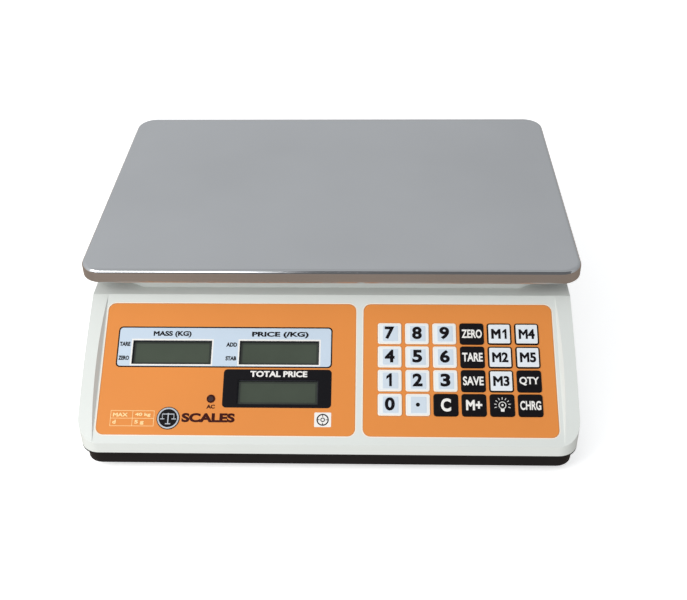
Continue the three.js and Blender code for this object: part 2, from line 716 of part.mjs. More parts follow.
// A shallow pan of sheet steel, turned down all round.
function platter() {
  const x = platterWidth / 2;
  const y = platterDepth / 2;
  const layer = (inset, low, high) => {
    const spans = [grown([-x, x], -inset), grown([panY - y, panY + y], -inset)];
    return plate(roundedRect(...spans, platterCornerRadius - inset), [low, high], 3);
  };
  const steps = 3;
  const rounding = (radius, top, inset) => Array.from({ length: steps }, (_, i) => {
    const angle = ((i + 1) * Math.PI) / 2 / (steps + 1);
    const drop = radius * (1 - Math.sin(angle));
    return layer(inset + radius * (1 - Math.cos(angle)), rimBottom - 1, top - drop);
  });
  const outside = join(
    layer(0, rimBottom, platterTop - platterBendRadius),
    ...rounding(platterBendRadius, platterTop, 0),
    layer(platterBendRadius, rimBottom, platterTop),
  );
  const innerTop = platterTop - platterSheet;
  const innerRadius = platterBendRadius - platterSheet;
  const inside = join(
    layer(platterSheet, rimBottom - 2, innerTop - innerRadius),
    layer(platterSheet + innerRadius, rimBottom - 2, innerTop),
  );
  const trim = block([-x - 1, x + 1], [panY - y - 1, panY + y + 1], [rimBottom - 3, rimBottom]);
  return cut(outside, inside, trim);
}

// ---- Panel pieces, in the panel's own frame ----
function displayOverlay() {
  const outline = roundedRect([displayLeft, displayRight], filmY, filmCornerRadius);
  const film = plate(outline, [filmBack, -filmSink]);
  const openings = windows.map((w) => block(...windowSpan(w, 0), [-2, 1]));
  return cut(film, ...openings, rod(led, ledRadius + seam, [-2, 1], 12));
}

function keyOutline(key, grow) {
  return roundedRect(...keySpan(key, grow), keyCornerRadius + grow);
}

function keypadOverlay() {
  const outline = roundedRect([keypadLeft, keypadRight], filmY, filmCornerRadius);
  const film = plate(outline, [filmBack, -filmSink]);
  return cut(film, ...keys.map((key) => plate(keyOutline(key, keySlack), [-2, 1], 1)));
}

function keyCap() {
  return plate(keyOutline({ x: 0, y: 0 }, 0), [keyBack, -filmSink + keyCrown], 1);
}

// Switch sheet under the keys: a spacer with a pocket and a snap dome for every key, and a tail.
function keypadCircuit() {
  const sheet = block(circuitX, circuitY, [circuitBack, circuitTop]);
  const pocketFloor = circuitTop - spacerThickness;
  const pockets = keys.map((key) => block(...keySpan(key, keySlack), [pocketFloor, 1]));
  const domes = keys.map(({ x, y }) => (
    rod([x, y], domeRadius, [pocketFloor - 0.1, pocketFloor + domeHeight], 6, world, domeRadius * 0.7)
  ));
  const tail = block(tailX, tailY, [circuitBack - tailLength, circuitBack + 0.1]);
  return join(cut(sheet, ...pockets), ...domes, tail);
}

function displayGlass(w) {
  const [x, y] = windowSpan(w, glassMargin);
  const glass = block(x, y, [glassBack, -glassSink]);
  const pins = [y[0] + 1.5, y[1] - 1.5].map((row) => (
    block(grown(x, -3), grown([row, row], 0.6), [boardTop + seam, glassBack + 0.1])
  ));
  return join(glass, ...pins);
}

// The main board with its processor, the load cell's socket and two capacitors on its underside.
function mainBoard() {
  const back = boardTop - boardThickness;
  const [x, y] = [boardX[0], boardY[0]];
  const board = block(boardX, boardY, [back, boardTop]);
  const chip = block([x + 60, x + 84], [y + 30, y + 54], [back - 3, back + 0.1]);
  const socket = block(
    grown([cableEndX, cableEndX], 10), [boardY[1] - 16, boardY[1] - 8], [back - socketDepth, back + 0.1],
  );
  const capacitors = [110, 124].map((dx) => rod([x + dx, y + 20], 5, [back - 12, back + 0.1], 10));
  return join(board, chip, socket, ...capacitors);
}

function powerLed() {
  return join(
    rod(led, ledRadius, [boardTop + seam, -0.6], 12),
    rod(led, ledRadius, [-0.7, 0.3], 12, world, ledRadius * 0.7),
  );
}

// ---- Rear face pieces, in the rear face's own frame ----
function rearOverlay() {
  const film = plate(roundedRect(rearFilmX, rearFilmY, filmCornerRadius), [filmBack, -filmSink]);
  return cut(film, ...rearWindows.map(([x, y]) => block(x, y, [-2, 1])));
}

const rearGlassBack = -wall - seam - glassThickness;
const rearBoardTop = rearGlassBack - 1.5;

function rearGlass() {
  const x = grown([rearWindows[0][0][0], rearWindows[2][0][1]], glassMargin);
  const y = grown(rearWindows[0][1], glassMargin);
  const glass = block(x, y, [rearGlassBack, -wall - seam]);
  const row = y[0] + 2;
  const pins = block(grown(x, -5), grown([row, row], 0.6), [rearBoardTop + seam, rearGlassBack + 0.1]);
  return glass.add(pins);
}

function rearBoard() {
  const x = [-rearBoardWidth / 2, rearBoardWidth / 2];
  const back = rearBoardTop - boardThickness;
  const board = block(x, grown(rearFilmY, -3), [back, rearBoardTop]);
  return board.add(block([-20, 10], grown([rearMiddle, rearMiddle], 6), [back - 4, back + 0.1]));
}

function mainsInlet() {
  const outline = roundedRect(grown(inletSpanX, 2.5), grown(inletSpanY, 2), 2);
  const flange = plate(outline, [seam, seam + inletFlange], 1);
  const body = block(inletSpanX, inletSpanY, [-inletDepth, seam + 0.1]);
  const socket = block(grown(inletSpanX, -inletWall), grown(inletSpanY, -inletWall), [-inletDepth + 3, 5]);
  const pins = [...livePins, earthPin].map(([dx, dy]) => block(
    grown([dx - inletX, dx - inletX], pinThickness / 2),
    grown([inletHeight + dy, inletHeight + dy], pinHeight / 2),
    [-inletDepth + 2.9, -pinSink],
  ));
  return join(cut(flange.add(body), socket), ...pins);
}

// ---- Power switch on the right-hand wall ----
const switchFace = bodyWidth / 2 + seam;
const rockerPivot = [switchFace - rockerSink, switchY, switchZ];

function switchFrame() {
  const body = block([switchFace - switchDepth, switchFace + 0.1], switchSpanY, switchSpanZ);
  const flange = block(
    [switchFace, switchFace + flangeThickness], grown(switchSpanY, flangeLip), grown(switchSpanZ, flangeLip),
  );
  const well = block(
    [switchFace - rockerSink - rockerThick - 2.5, switchFace + 3],
    grown([switchY, switchY], rockerHalf + rockerClearance), grown(switchSpanZ, -2.2),
  );
  return cut(body.add(flange), well);
}

// The rocker turns about an upright axis through its pivot, and rests pressed in at its front end.
function powerRocker() {
  const z = grown([0, 0], switchTall / 2 - 2.8);
  const shape = roundedShape([
    [-rockerThick, 1.5 - rockerHalf, 0], [rockerRise, -rockerHalf, 0], [rockerDish, 0, 0],
    [rockerRise, rockerHalf, 0], [-rockerThick, rockerHalf - 1.5, 0],
  ]);
  const tilt = new THREE.Matrix4().makeRotationZ(-rockerTilt).setPosition(...rockerPivot);
  return plate(shape, z, 1, tilt);
}

function levelVial() {
  const body = rod(vial, vialRadius, [deckTop - 6, deckTop + seam + 0.1], 16);
  const flange = rod(vial, vialRadius + 2, [deckTop + seam, deckTop + 2], 16, world, vialRadius + 1);
  return body.add(flange);
}

// Signal cable from the fixed end of the load cell to the socket on the main board.
function cellCable() {
  const socketFace = boardTop - boardThickness - socketDepth;
  const end = new THREE.Vector3(cableEndX, boardY[1] - 12, socketFace - seam);
  end.applyMatrix4(panelFrame);
  const start = new THREE.Vector3(cellFixedX - 3 * seam, panY, (cellBottom + cellTop) / 2);
  const path = new THREE.CatmullRomCurve3([
    start,
    start.clone().add(new THREE.Vector3(-10, -1, -1)),
    new THREE.Vector3(start.x - 20, panY - 40, baseFloor + 8),
    new THREE.Vector3(end.x, end.y + 24, baseFloor + 18),
    new THREE.Vector3(end.x, end.y + 8, end.z - 12),
    end,
  ]);
  const section = new THREE.Shape().absarc(0, 0, cableRadius, 0, 2 * Math.PI);
  const settings = { extrudePath: path, steps: 18, curveSegments: 4, bevelEnabled: false };
  return solid(new THREE.ExtrudeGeometry(section, settings));
}

// ---- Assembly ----
add('base_shell', baseShell(), blackPlastic);
add('upper_housing', upperHousing(), whitePlastic);
footPlaces.forEach(([name, [x, y]]) => add(`foot_${name}`, foot(), rubber, group, [x, y, 0]));
add('battery', battery(), batteryCase);
add('battery_door', batteryDoor(), blackPlastic);
add('transformer', transformer(), darkSteel);
add('load_cell', loadCell(), machinedAluminium);
fixedBolts.forEach((x, i) => {
  add(`cell_bolt_base_${i + 1}`, cellBolt(baseBottom + boltHeadHeight + 0.2, 1, x), zincSteel);
});
freeBolts.forEach((x, i) => {
  add(`cell_bolt_hub_${i + 1}`, cellBolt(hubFloor + seam, -1, x), zincSteel);
});
add('load_cell_cable', cellCable(), cableSheath);
add('pan_support', panSupport(), castAluminium);
corners.forEach(([name, sx, sy]) => {
  add(`pan_pad_${name}`, panPad([(sx * padSpacingX) / 2, panY + (sy * padSpacingY) / 2]), rubber);
});
add('platter', platter(), stainless);
add('level_vial', levelVial(), clearVial);
add('switch_frame', switchFrame(), blackPlastic);
add('power_rocker', powerRocker(), blackPlastic);
add('display_overlay', displayOverlay(), orangeFilm, panel);
add('keypad_overlay', keypadOverlay(), orangeFilm, panel);
add('keypad_circuit', keypadCircuit(), membrane, panel);
keys.forEach(({ name, x, y }) => {
  add(name, keyCap(), darkKeys.includes(name) ? darkKey : paleKey, panel, [x, y, 0]);
});
windows.forEach((w) => add(w.name, displayGlass(w), liquidCrystal, panel));
add('main_board', mainBoard(), greenBoard, panel);
add('power_led', powerLed(), redLens, panel);
add('rear_overlay', rearOverlay(), blackFilm, rearFace);
add('rear_lcd', rearGlass(), liquidCrystal, rearFace);
add('rear_board', rearBoard(), greenBoard, rearFace);
add('mains_inlet', mainsInlet(), blackPlastic, rearFace);

export default group;
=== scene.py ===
# Price computing scale: fine shapes, printing and finishes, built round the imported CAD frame.
# Metres. +Z is up, the operator stands on the -Y side and +X is the operator's right.
import json
import math

import bmesh
import bpy
from mathutils import Matrix, Vector


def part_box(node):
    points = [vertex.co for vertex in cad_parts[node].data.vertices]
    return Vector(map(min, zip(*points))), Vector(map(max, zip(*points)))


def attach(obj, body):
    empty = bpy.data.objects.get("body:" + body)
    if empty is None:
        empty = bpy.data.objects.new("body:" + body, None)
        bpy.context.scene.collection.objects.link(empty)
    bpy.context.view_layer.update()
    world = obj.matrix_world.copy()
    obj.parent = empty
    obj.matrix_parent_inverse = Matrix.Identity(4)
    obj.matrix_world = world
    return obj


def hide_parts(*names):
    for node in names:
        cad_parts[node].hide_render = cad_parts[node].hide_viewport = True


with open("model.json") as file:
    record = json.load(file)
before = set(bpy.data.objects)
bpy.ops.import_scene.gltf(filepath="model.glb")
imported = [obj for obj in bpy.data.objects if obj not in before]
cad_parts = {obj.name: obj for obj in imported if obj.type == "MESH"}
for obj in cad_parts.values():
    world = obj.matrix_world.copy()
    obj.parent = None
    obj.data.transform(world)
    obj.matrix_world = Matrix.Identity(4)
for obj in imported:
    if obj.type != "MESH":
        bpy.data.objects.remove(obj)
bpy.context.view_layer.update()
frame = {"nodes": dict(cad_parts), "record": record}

MM = 0.001
ACROSS = Vector((1, 0, 0))

# ---- Fine dimensions that the frame doesn't give ----
SEAM = 0.3 * MM
FILM_SINK = 0.1 * MM  # film below the panel face
FILM_POCKET = 0.9 * MM
FILM_SEAM = 0.12 * MM
FILM_HIGHLIGHT = 0.75 * MM  # width of the cream ring painted round a film: a painted highlight on the edge of its pocket
FILM_CORNER = 5 * MM
INK = 0.04 * MM
WALL = 2.5 * MM
PANEL_WALL = 4.4 * MM
FRONT_CORNER = 14 * MM
REAR_CORNER = 12 * MM
EDGE_ROUND = 1.5 * MM
PANEL_SIDE = 1.5 * MM  # film edge to the side of the flat panel
CHEEK_CROWN = 2.9 * MM
DECK_RISE = 5.3 * MM
DECK_SETBACK = 8.6 * MM
DECK_SIDE = 11.5 * MM
DECK_CUT = (22 * MM, 12.7 * MM)
GLASS_LAP = 3 * MM  # display glass behind the panel, beyond its window
GLASS_CLEAR = 0.5 * MM  # window in the housing, beyond the one in the film
GLASS_STEP = 2.1 * MM  # panel face to the pocket of the glass
CUT_DEPTH = 9 * MM  # well past the back of the panel wall
HUB_HOLE = (-16.7, -12.7, 16.7, 12.7)  # millimetres from the middle of the hub bolts
STOP_SHIFT = (9 * MM, 6 * MM)  # overload stop, inwards from its pan pad
STOP_RADIUS = 5 * MM
SCREW_INSET = 13 * MM
SCREW_REACH = 100 * MM
SHEET = 1.2 * MM  # platter steel
BEND = 3 * MM
PLATTER_CORNER = 15 * MM
CORNERS = ("front_left", "front_right", "rear_left", "rear_right")


# ---- Reading the frame ----
def points_of(node):
    return [vertex.co for vertex in frame["nodes"][node].data.vertices]


def facing(node, direction):
    """The normal of a node's largest face among those that look along a direction."""
    faces = frame["nodes"][node].data.polygons
    near = [face for face in faces if face.normal.dot(direction) > 0.7]
    return max(near, key=lambda face: face.area).normal.normalized()


def face_axes(normal, across, origin):
    """Axes of a flat face: across it, up it and out of it."""
    place = Matrix((across, normal.cross(across), normal)).transposed().to_4x4()
    place.translation = origin
    return place


def span(node, place):
    """Lowest and highest corner of a node, measured along the axes of a face."""
    inverse = place.inverted()
    columns = list(zip(*[inverse @ point for point in points_of(node)]))
    return Vector([min(c) for c in columns]), Vector([max(c) for c in columns])


house_low, house_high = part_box("upper_housing")
half_width = house_high.x
panel_normal = facing("display_overlay", Vector((0, -0.5, 0.85)))
panel_level = max(p.dot(panel_normal) for p in points_of("display_overlay")) + FILM_SINK
break_height = (panel_level - house_low.y * panel_normal.y) / panel_normal.z
PANEL = face_axes(panel_normal, ACROSS, Vector((0, house_low.y, break_height)))
rear_normal = facing("rear_overlay", Vector((0, 1, 0.2)))
rear_level = max(p.dot(rear_normal) for p in points_of("rear_overlay")) + FILM_SINK
rear_foot = min((rear_level - break_height * rear_normal.z) / rear_normal.y, house_high.y)
REAR = face_axes(rear_normal, -ACROSS, Vector((0, rear_foot, break_height)))
shoulder = max(p.z for p in points_of("upper_housing") if abs(p.x) > half_width - MM)
slope = math.atan2(-panel_normal.y, panel_normal.z)
rear_lean = math.atan2(rear_normal.z, rear_normal.y)
panel_top = house_low.y + (shoulder - break_height) / math.tan(slope)
rear_top = rear_foot - (shoulder - break_height) * math.tan(rear_lean)
slope_length = (shoulder - break_height) / math.sin(slope)
film_low, film_high = span("display_overlay", PANEL)
floor_half = -film_low.x + PANEL_SIDE
film_face = -FILM_SINK


# ---- Camera ----
def add_object(name, data):
    piece = bpy.data.objects.new(name, data)
    bpy.context.scene.collection.objects.link(piece)
    return piece


def make_camera():
    """Stands at the operator's side, a little to the right, looking down at the platter."""
    yaw, pitch, roll = (math.radians(a) for a in (2.1035, 36.172, -1.009))
    level = Vector((-math.sin(yaw), math.cos(yaw), 0))
    ahead = level * math.cos(pitch) - Vector((0, 0, math.sin(pitch)))
    right = Vector((math.cos(yaw), math.sin(yaw), 0))
    up = right.cross(ahead)
    turned_right = right * math.cos(roll) + up * math.sin(roll)
    data = bpy.data.cameras.new("camera")
    data.sensor_width = 36
    data.lens = 52.79
    camera = add_object("camera", data)
    stand = Vector((0.02969, -0.62945, 0.48549))
    camera.matrix_world = face_axes(-ahead, turned_right, stand)
    bpy.context.scene.camera = camera


make_camera()


# ---- Outlines ----
def rounded(corners, steps=8):
    """A closed outline through corners given as (x, y, radius), each rounded by an arc."""
    path = []
    for i, (x, y, radius) in enumerate(corners):
        corner = Vector((x, y))
        back = (Vector(corners[i - 1][:2]) - corner).normalized()
        ahead = (Vector(corners[(i + 1) % len(corners)][:2]) - corner).normalized()
        if radius <= 0:
            path.append(corner)
            continue
        half = back.angle(ahead) / 2
        middle = corner + (back + ahead).normalized() * (radius / math.sin(half))
        start = back * (radius / math.tan(half)) + corner - middle
        end = ahead * (radius / math.tan(half)) + corner - middle
        first = math.atan2(start.y, start.x)
        turn = math.remainder(math.atan2(end.y, end.x) - first, math.tau)
        for k in range(steps + 1):
            angle = first + turn * k / steps
            path.append(middle + Vector((math.cos(angle), math.sin(angle))) * radius)
    return path


def rectangle(low, high, radius=0.0, steps=8):
    (x0, y0), (x1, y1) = low, high
    return rounded([(x0, y0, radius), (x1, y0, radius), (x1, y1, radius), (x0, y1, radius)], steps)


def circle(x, y, radius, sides=32):
    angles = [math.tau * k / sides for k in range(sides)]
    return [Vector((x + radius * math.cos(a), y + radius * math.sin(a))) for a in angles]


def grown(low, high, by):
    return (low[0] - by, low[1] - by), (high[0] + by, high[1] + by)


def about(x, y, left, low, right, high):
    """Two corners of a rectangle, given in millimetres from a point."""
    return (x + left * MM, y + low * MM), (x + right * MM, y + high * MM)


def centre(low, high):
    return (low[0] + high[0]) / 2, (low[1] + high[1]) / 2


def border(low, high, outer, inner, outer_radius=0.0, inner_radius=0.0):
    """A line round a rectangle: its two outlines, grown in millimetres from the rectangle."""
    outside = rectangle(*grown(low, high, outer * MM), outer_radius * MM)
    return [outside, rectangle(*grown(low, high, inner * MM), inner_radius * MM)]


def hoop(x, y, outer, inner, sides=32):
    """A round line: its two outlines, with their radii in millimetres."""
    return [circle(x, y, outer * MM, sides), circle(x, y, inner * MM, sides)]


# ---- Solids ----
def new_object(name, bm, place=Matrix()):
    bmesh.ops.recalc_face_normals(bm, faces=bm.faces)
    bm.transform(place)
    mesh = bpy.data.meshes.new(name)
    bm.to_mesh(mesh)
    bm.free()
    return add_object(name, mesh)


def prism(outline, low, high, place=Matrix(), name="tool"):
    """An outline drawn in x and y, extruded from low to high."""
    bm = bmesh.new()
    bottom = [bm.verts.new((x, y, low)) for x, y in outline]
    top = [bm.verts.new((x, y, high)) for x, y in outline]
    bm.faces.new(bottom[::-1])
    bm.faces.new(top)
    for i in range(len(outline)):
        bm.faces.new((bottom[i - 1], bottom[i], top[i], top[i - 1]))
    return new_object(name, bm, place)


def side_prism(outline, low, high, name="tool"):
    """An outline drawn in Y and Z, extruded along X."""
    turned = Matrix(((0, 0, 1, 0), (1, 0, 0, 0), (0, 1, 0, 0), (0, 0, 0, 1)))
    return prism(outline, low, high, turned, name)


def sheet(name, outlines, low, high, place):
    """A thin plate with a first outline and holes, which are the outlines after it."""
    bm = bmesh.new()
    edges = []
    for outline in outlines:
        loop = [bm.verts.new((x, y, low)) for x, y in outline]
        edges += [bm.edges.new((loop[i - 1], loop[i])) for i in range(len(loop))]
    rims = [tuple(edge.verts) for edge in edges]
    bmesh.ops.triangle_fill(bm, use_beauty=True, edges=edges)
    faces = bm.faces[:]
    above = {v: bm.verts.new((v.co.x, v.co.y, high)) for v in bm.verts[:]}
    for face in faces:
        bm.faces.new([above[v] for v in face.verts])
    for a, b in rims:
        bm.faces.new((a, b, above[b], above[a]))
    return new_object(name, bm, place)


def loft(name, rings, place=Matrix()):
    """A closed solid through rings with the same number of points, with flat ends."""
    bm = bmesh.new()
    loops = [[bm.verts.new(point) for point in ring] for ring in rings]
    for lower, upper in zip(loops, loops[1:]):
        for i in range(len(lower)):
            bm.faces.new((lower[i - 1], lower[i], upper[i], upper[i - 1]))
    bm.faces.new(loops[0])
    bm.faces.new(loops[-1])
    return new_object(name, bm, place)


def settle(piece):
    """Applies a piece's modifiers."""
    graph = bpy.context.evaluated_depsgraph_get()
    piece.data = bpy.data.meshes.new_from_object(piece.evaluated_get(graph))
    piece.modifiers.clear()
    return piece


def combine(body, tools, operation="DIFFERENCE"):
    for tool in tools:
        step = body.modifiers.new("combine", "BOOLEAN")
        step.operation = operation
        step.solver = "EXACT"
        step.object = tool
    settle(body)
    for tool in tools:
        bpy.data.objects.remove(tool)
    return body


def soften(piece, width, segments=3, angle=30):
    """Rounds the edges that are sharper than an angle in degrees."""
    step = piece.modifiers.new("soften", "BEVEL")
    step.width = width
    step.segments = segments
    step.limit_method = "ANGLE"
    step.angle_limit = math.radians(angle)
    step.use_clamp_overlap = True
    return piece


def shade(piece, angle=35):
    """Smooth shading, with flat faces kept flat beside their rounded edges."""
    piece.data.shade_smooth()
    piece.data.set_sharp_from_angle(angle=math.radians(angle))
    step = piece.modifiers.new("normals", "WEIGHTED_NORMAL")
    step.keep_sharp = True
    return piece


def join(name, pieces):
    """One piece made of several that share a body, each part keeping its own material."""
    bm = bmesh.new()
    materials = []
    for piece in pieces:
        mesh = piece.data
        offset = len(materials)
        materials += list(mesh.materials)
        first = len(bm.faces)
        bm.from_mesh(mesh)
        bm.faces.ensure_lookup_table()
        for face in bm.faces[first:]:
            face.material_index += offset
        bpy.data.objects.remove(piece)
    mesh = bpy.data.meshes.new(name)
    bm.to_mesh(mesh)
    bm.free()
    for material in materials:
        mesh.materials.append(material)
    return add_object(name, mesh)


def lettering(name, text, low, high, base, top, place, weight=0.0):
    """Plain letters that fill a rectangle, standing between two levels of a face."""
    curve = bpy.data.curves.new(name, "FONT")
    curve.body = text
    curve.extrude = 0.5
    curve.bevel_depth = weight
    curve.bevel_resolution = 0
    curve.resolution_u = 5
    letters = add_object(name, curve)
    graph = bpy.context.evaluated_depsgraph_get()
    graph.update()
    mesh = bpy.data.meshes.new_from_object(letters.evaluated_get(graph))
    bpy.data.objects.remove(letters)
    columns = list(zip(*[v.co for v in mesh.vertices]))
    least = [min(c) for c in columns]
    most = [max(c) for c in columns]
    target = [(low[0], high[0]), (low[1], high[1]), (base, top)]
    for vertex in mesh.vertices:
        vertex.co = [
            t0 + (value - a) / (b - a) * (t1 - t0)
            for value, a, b, (t0, t1) in zip(vertex.co, least, most, target)
        ]
    bm = bmesh.new()
    bm.from_mesh(mesh)
    bmesh.ops.remove_doubles(bm, verts=bm.verts, dist=1e-6)
    return new_object(name, bm, place)


# ---- Materials ----
LOOKS = {}
NOISE_LOW, NOISE_HIGH = 0.3, 0.7  # where most of a noise texture's values lie


def wire(tree, node, values=(), sources=()):
    """Fixed values on some inputs of a node, and the outputs of other nodes on others."""
    for socket, value in dict(values).items():
        node.inputs[socket].default_value = value
    for socket, source in dict(sources).items():
        tree.links.new(source, node.inputs[socket])
    return node


def add_node(tree, kind, values=(), sources=()):
    return wire(tree, tree.nodes.new("ShaderNode" + kind), values, sources)


def surface(name, colour, roughness, metallic=0.0, tint=0.05, patch=25, grain=1400, relief=0.02,
            gloss=0.08, stretch=(1, 1, 1), coat=0.0, specular=0.5):
    """A moulded, printed or metal surface. Its colour drifts in patches of about 1/patch metres,
    its roughness and relief follow a grain of about 1/grain metres, drawn out along the stretch."""
    material = bpy.data.materials.new(name)
    material.use_nodes = True
    tree = material.node_tree
    where = add_node(tree, "TexCoord").outputs["Object"]
    drift = add_node(tree, "TexNoise", {"Scale": patch, "Detail": 4}, {"Vector": where})
    shades = add_node(tree, "ValToRGB", sources={"Fac": drift.outputs["Fac"]})
    start, end = shades.color_ramp.elements
    start.position, end.position = NOISE_LOW, NOISE_HIGH
    start.color = (*[c * (1 - tint) for c in colour], 1)
    end.color = (*[min(1, c * (1 + tint)) for c in colour], 1)
    drawn = add_node(tree, "Mapping", {"Scale": stretch}, {"Vector": where}).outputs["Vector"]
    texture = add_node(tree, "TexNoise", {"Scale": grain, "Detail": 3}, {"Vector": drawn})
    fine = texture.outputs["Fac"]
    ends = {
        "From Min": NOISE_LOW,
        "From Max": NOISE_HIGH,
        "To Min": max(0.02, roughness - gloss),
        "To Max": min(1, roughness + gloss),
    }
    spread = add_node(tree, "MapRange", ends, {"Value": fine})
    bump = add_node(tree, "Bump", {"Strength": 0.6, "Distance": relief * MM}, {"Height": fine})
    fixed = {
        "Metallic": metallic,
        "Specular IOR Level": specular,
        "Coat Weight": coat,
        "Coat Roughness": 0.12,
    }
    varied = {
        "Base Color": shades.outputs["Color"],
        "Roughness": spread.outputs["Result"],
        "Normal": bump.outputs["Normal"],
    }
    wire(tree, tree.nodes["Principled BSDF"], fixed, varied)
    LOOKS[name] = material
    return material


def srgb(red, green, blue):
    """Linear colour of a colour given as 0 to 255 screen values."""
    values = [c / 255 for c in (red, green, blue)]
    return tuple(c / 12.92 if c <= 0.04045 else ((c + 0.055) / 1.055) ** 2.4 for c in values)


def ink(name, colour, roughness, tint, patch=25, relief=0.004, specular=0.2, metallic=0.0):
    """A printed film or an ink, with a very fine grain."""
    surface(name, srgb(*colour), roughness, metallic, tint, patch, 2600, relief, specular=specular)


# name, colour, roughness, metallic, tint, patch, grain, relief, gloss, stretch
surface("white_abs", srgb(221, 225, 221), 0.42, tint=0.012, grain=2200, relief=0.012, specular=0.4)
surface("black_abs", srgb(29, 27, 28), 0.5, tint=0.12, grain=1800, relief=0.03, specular=0.2)
surface("switch_black", srgb(24, 24, 26), 0.3, tint=0.1, grain=900, relief=0.004)
surface("stainless", (0.60, 0.615, 0.63), 0.12, 1, 0.03, 9, 60, 0.0006, 0.03, (1, 40, 40))
surface("cast_aluminium", (0.45, 0.455, 0.46), 0.5, 1, 0.1, 60, 900, 0.08)
surface("machined_aluminium", (0.62, 0.63, 0.64), 0.34, 1, 0.05, 30, 120, 0.004, stretch=(1, 30, 30))
surface("plated_steel", (0.55, 0.56, 0.57), 0.3, 1, 0.05, 300, 1200, 0.01)
surface("transformer_steel", (0.07, 0.072, 0.075), 0.5, 0.8, 0.2, 80, 500, 0.06, stretch=(1, 1, 6))
surface("membrane", srgb(207, 211, 214), 0.45, tint=0.03, patch=120, grain=1500)
surface("circuit_board", srgb(31, 93, 58), 0.4, tint=0.15, patch=180, grain=900)
surface("led_lens", srgb(52, 18, 18), 0.2, 0, 0.1, 400, 900, 0.004, 0.03, coat=0.2)
surface("foot_rubber", srgb(28, 28, 29), 0.8, tint=0.15, patch=150, grain=1600, relief=0.06)
surface("battery_case", srgb(43, 46, 51), 0.5, tint=0.08, grain=1500)
surface("cable_sheath", srgb(42, 42, 44), 0.65, tint=0.1, grain=1500)
# dark lining of the display windows: painted shade for the window recesses
surface("display_gasket", srgb(20, 22, 34), 0.75, tint=0.1, patch=200, grain=1500, relief=0.03)
surface("liquid_crystal", srgb(66, 75, 63), 0.1, 0, 0.1, 30, 1600, 0.001, 0.03, specular=0.35)
surface("display_edge", srgb(48, 55, 47), 0.12, 0, 0.08, 60, 1600, 0.001, 0.03)
surface("level_bubble", srgb(186, 212, 104), 0.06, 0, 0.05, 200, 700, 0.001, 0.02, coat=1.0)
surface("vial_liquid", srgb(214, 232, 150), 0.05, 0, 0.05, 200, 700, 0.001, 0.02, coat=1.0)
# name, colour, roughness, tint, patch, relief, specular
ink("orange_film", (227, 141, 67), 0.36, 0.02, 14, 0.006, 0.25)
ink("black_film", (15, 14, 19), 0.33, 0.08, relief=0.006, specular=0.15)
ink("key_pale", (236, 240, 240), 0.36, 0.01, relief=0.005, specular=0.25)
ink("key_dark", (17, 14, 18), 0.34, 0.08, relief=0.005, specular=0.15)
ink("print_white", (240, 238, 234), 0.4, 0.02, 90)
ink("print_dark", (16, 13, 17), 0.38, 0.08, 90, specular=0.12)
ink("print_blue", (199, 214, 229), 0.38, 0.02, 30)
# cream: print on the sides of the number keys, and the painted highlight round the films
ink("cream_print_and_highlight", (250, 238, 222), 0.38, 0.01)
ink("key_face_ink", (208, 220, 231), 0.36, 0.015)
ink("key_band_ink", (228, 234, 240), 0.36, 0.01)
ink("brown_ink", (62, 14, 8), 0.38, 0.08, 90, specular=0.15)
ink("pale_line_ink", (252, 218, 158), 0.38, 0.02, 90)
ink("silver_ink", (186, 192, 200), 0.32, 0.06, 300, specular=0.5, metallic=0.3)


def paint(piece, look):
    piece.data.materials.clear()
    piece.data.materials.append(LOOKS[look])
    return piece


def own(piece, body, slot, look=None):
    """Gives a new piece its finish, from its look or else from its slot, and the body that it rides on.
    """
    paint(piece, look or slot)
    return ride(piece, body)


def ride(piece, body):
    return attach(piece, body)


SLOTS = {part["node"]: part["material_slot"] for part in frame["record"]["subparts"]}
for node, slot in SLOTS.items():
    paint(frame["nodes"][node], slot)


# ---- Upper housing ----
def body_section(inset, panel_inset):
    """Side section of the body, pulled in from the outside and, at the panel, by its own inset."""
    drop = panel_inset / math.cos(slope)
    top = shoulder - inset
    low_front = break_height - drop + inset * math.tan(slope)
    top_front = house_low.y + (top - break_height + drop) / math.tan(slope)
    back_top = rear_top + inset * math.tan(rear_lean) - inset / math.cos(rear_lean)
    low, foot = (house_low.y + inset, low_front), (rear_foot - inset, break_height)
    return low, (top_front, top), (back_top, top), foot


def cheek_arc(low, top, steps=16):
    """The shallow arc that the cheeks follow, from the foot to the top of the panel."""
    path = []
    for k in range(1, steps):
        share = k / steps
        crown = 4 * CHEEK_CROWN * share * (1 - share)
        path.append((
            low[0] + share * (top[0] - low[0]) - crown * math.sin(slope),
            low[1] + share * (top[1] - low[1]) + crown * math.cos(slope),
        ))
    return path


def plan(inset, steps=20):
    x = half_width - inset
    front, back = house_low.y + inset, rear_foot - inset
    near, far = FRONT_CORNER - inset, REAR_CORNER - inset
    return rounded([(-x, front, near), (x, front, near), (x, back, far), (-x, back, far)], steps)


def body_shell():
    low, top, back, foot = body_section(0, 0)
    under = [(low[0], house_low.z), (foot[0], house_low.z)]
    section = [*under, foot, back, top, *cheek_arc(low, top)[::-1], low]
    body = side_prism(section, -half_width, half_width, "upper_housing_shell")
    combine(body, [prism(plan(0), house_low.z - WALL, house_high.z)], "INTERSECT")
    return settle(soften(body, EDGE_ROUND, 5, 20))


def deck_plate():
    x = half_width - DECK_SIDE
    front, back = panel_top + DECK_SETBACK, rear_top - DECK_SETBACK
    run, depth = DECK_CUT
    half = [(x - run, front), (x, front + depth), (x, back - depth), (x - run, back)]
    outline = half + [(-px, py) for px, py in half[::-1]]
    plate = prism([Vector(p) for p in outline], shoulder - MM, shoulder + DECK_RISE)
    return settle(soften(plate, 0.9 * MM, 3))


def through(node, place, by, low, high, radius=0.0):
    """A rectangular opening round a node, grown or shrunk on each side."""
    least, most = span(node, place)
    return prism(rectangle(*grown(least.xy, most.xy, by), radius), low, high, place)


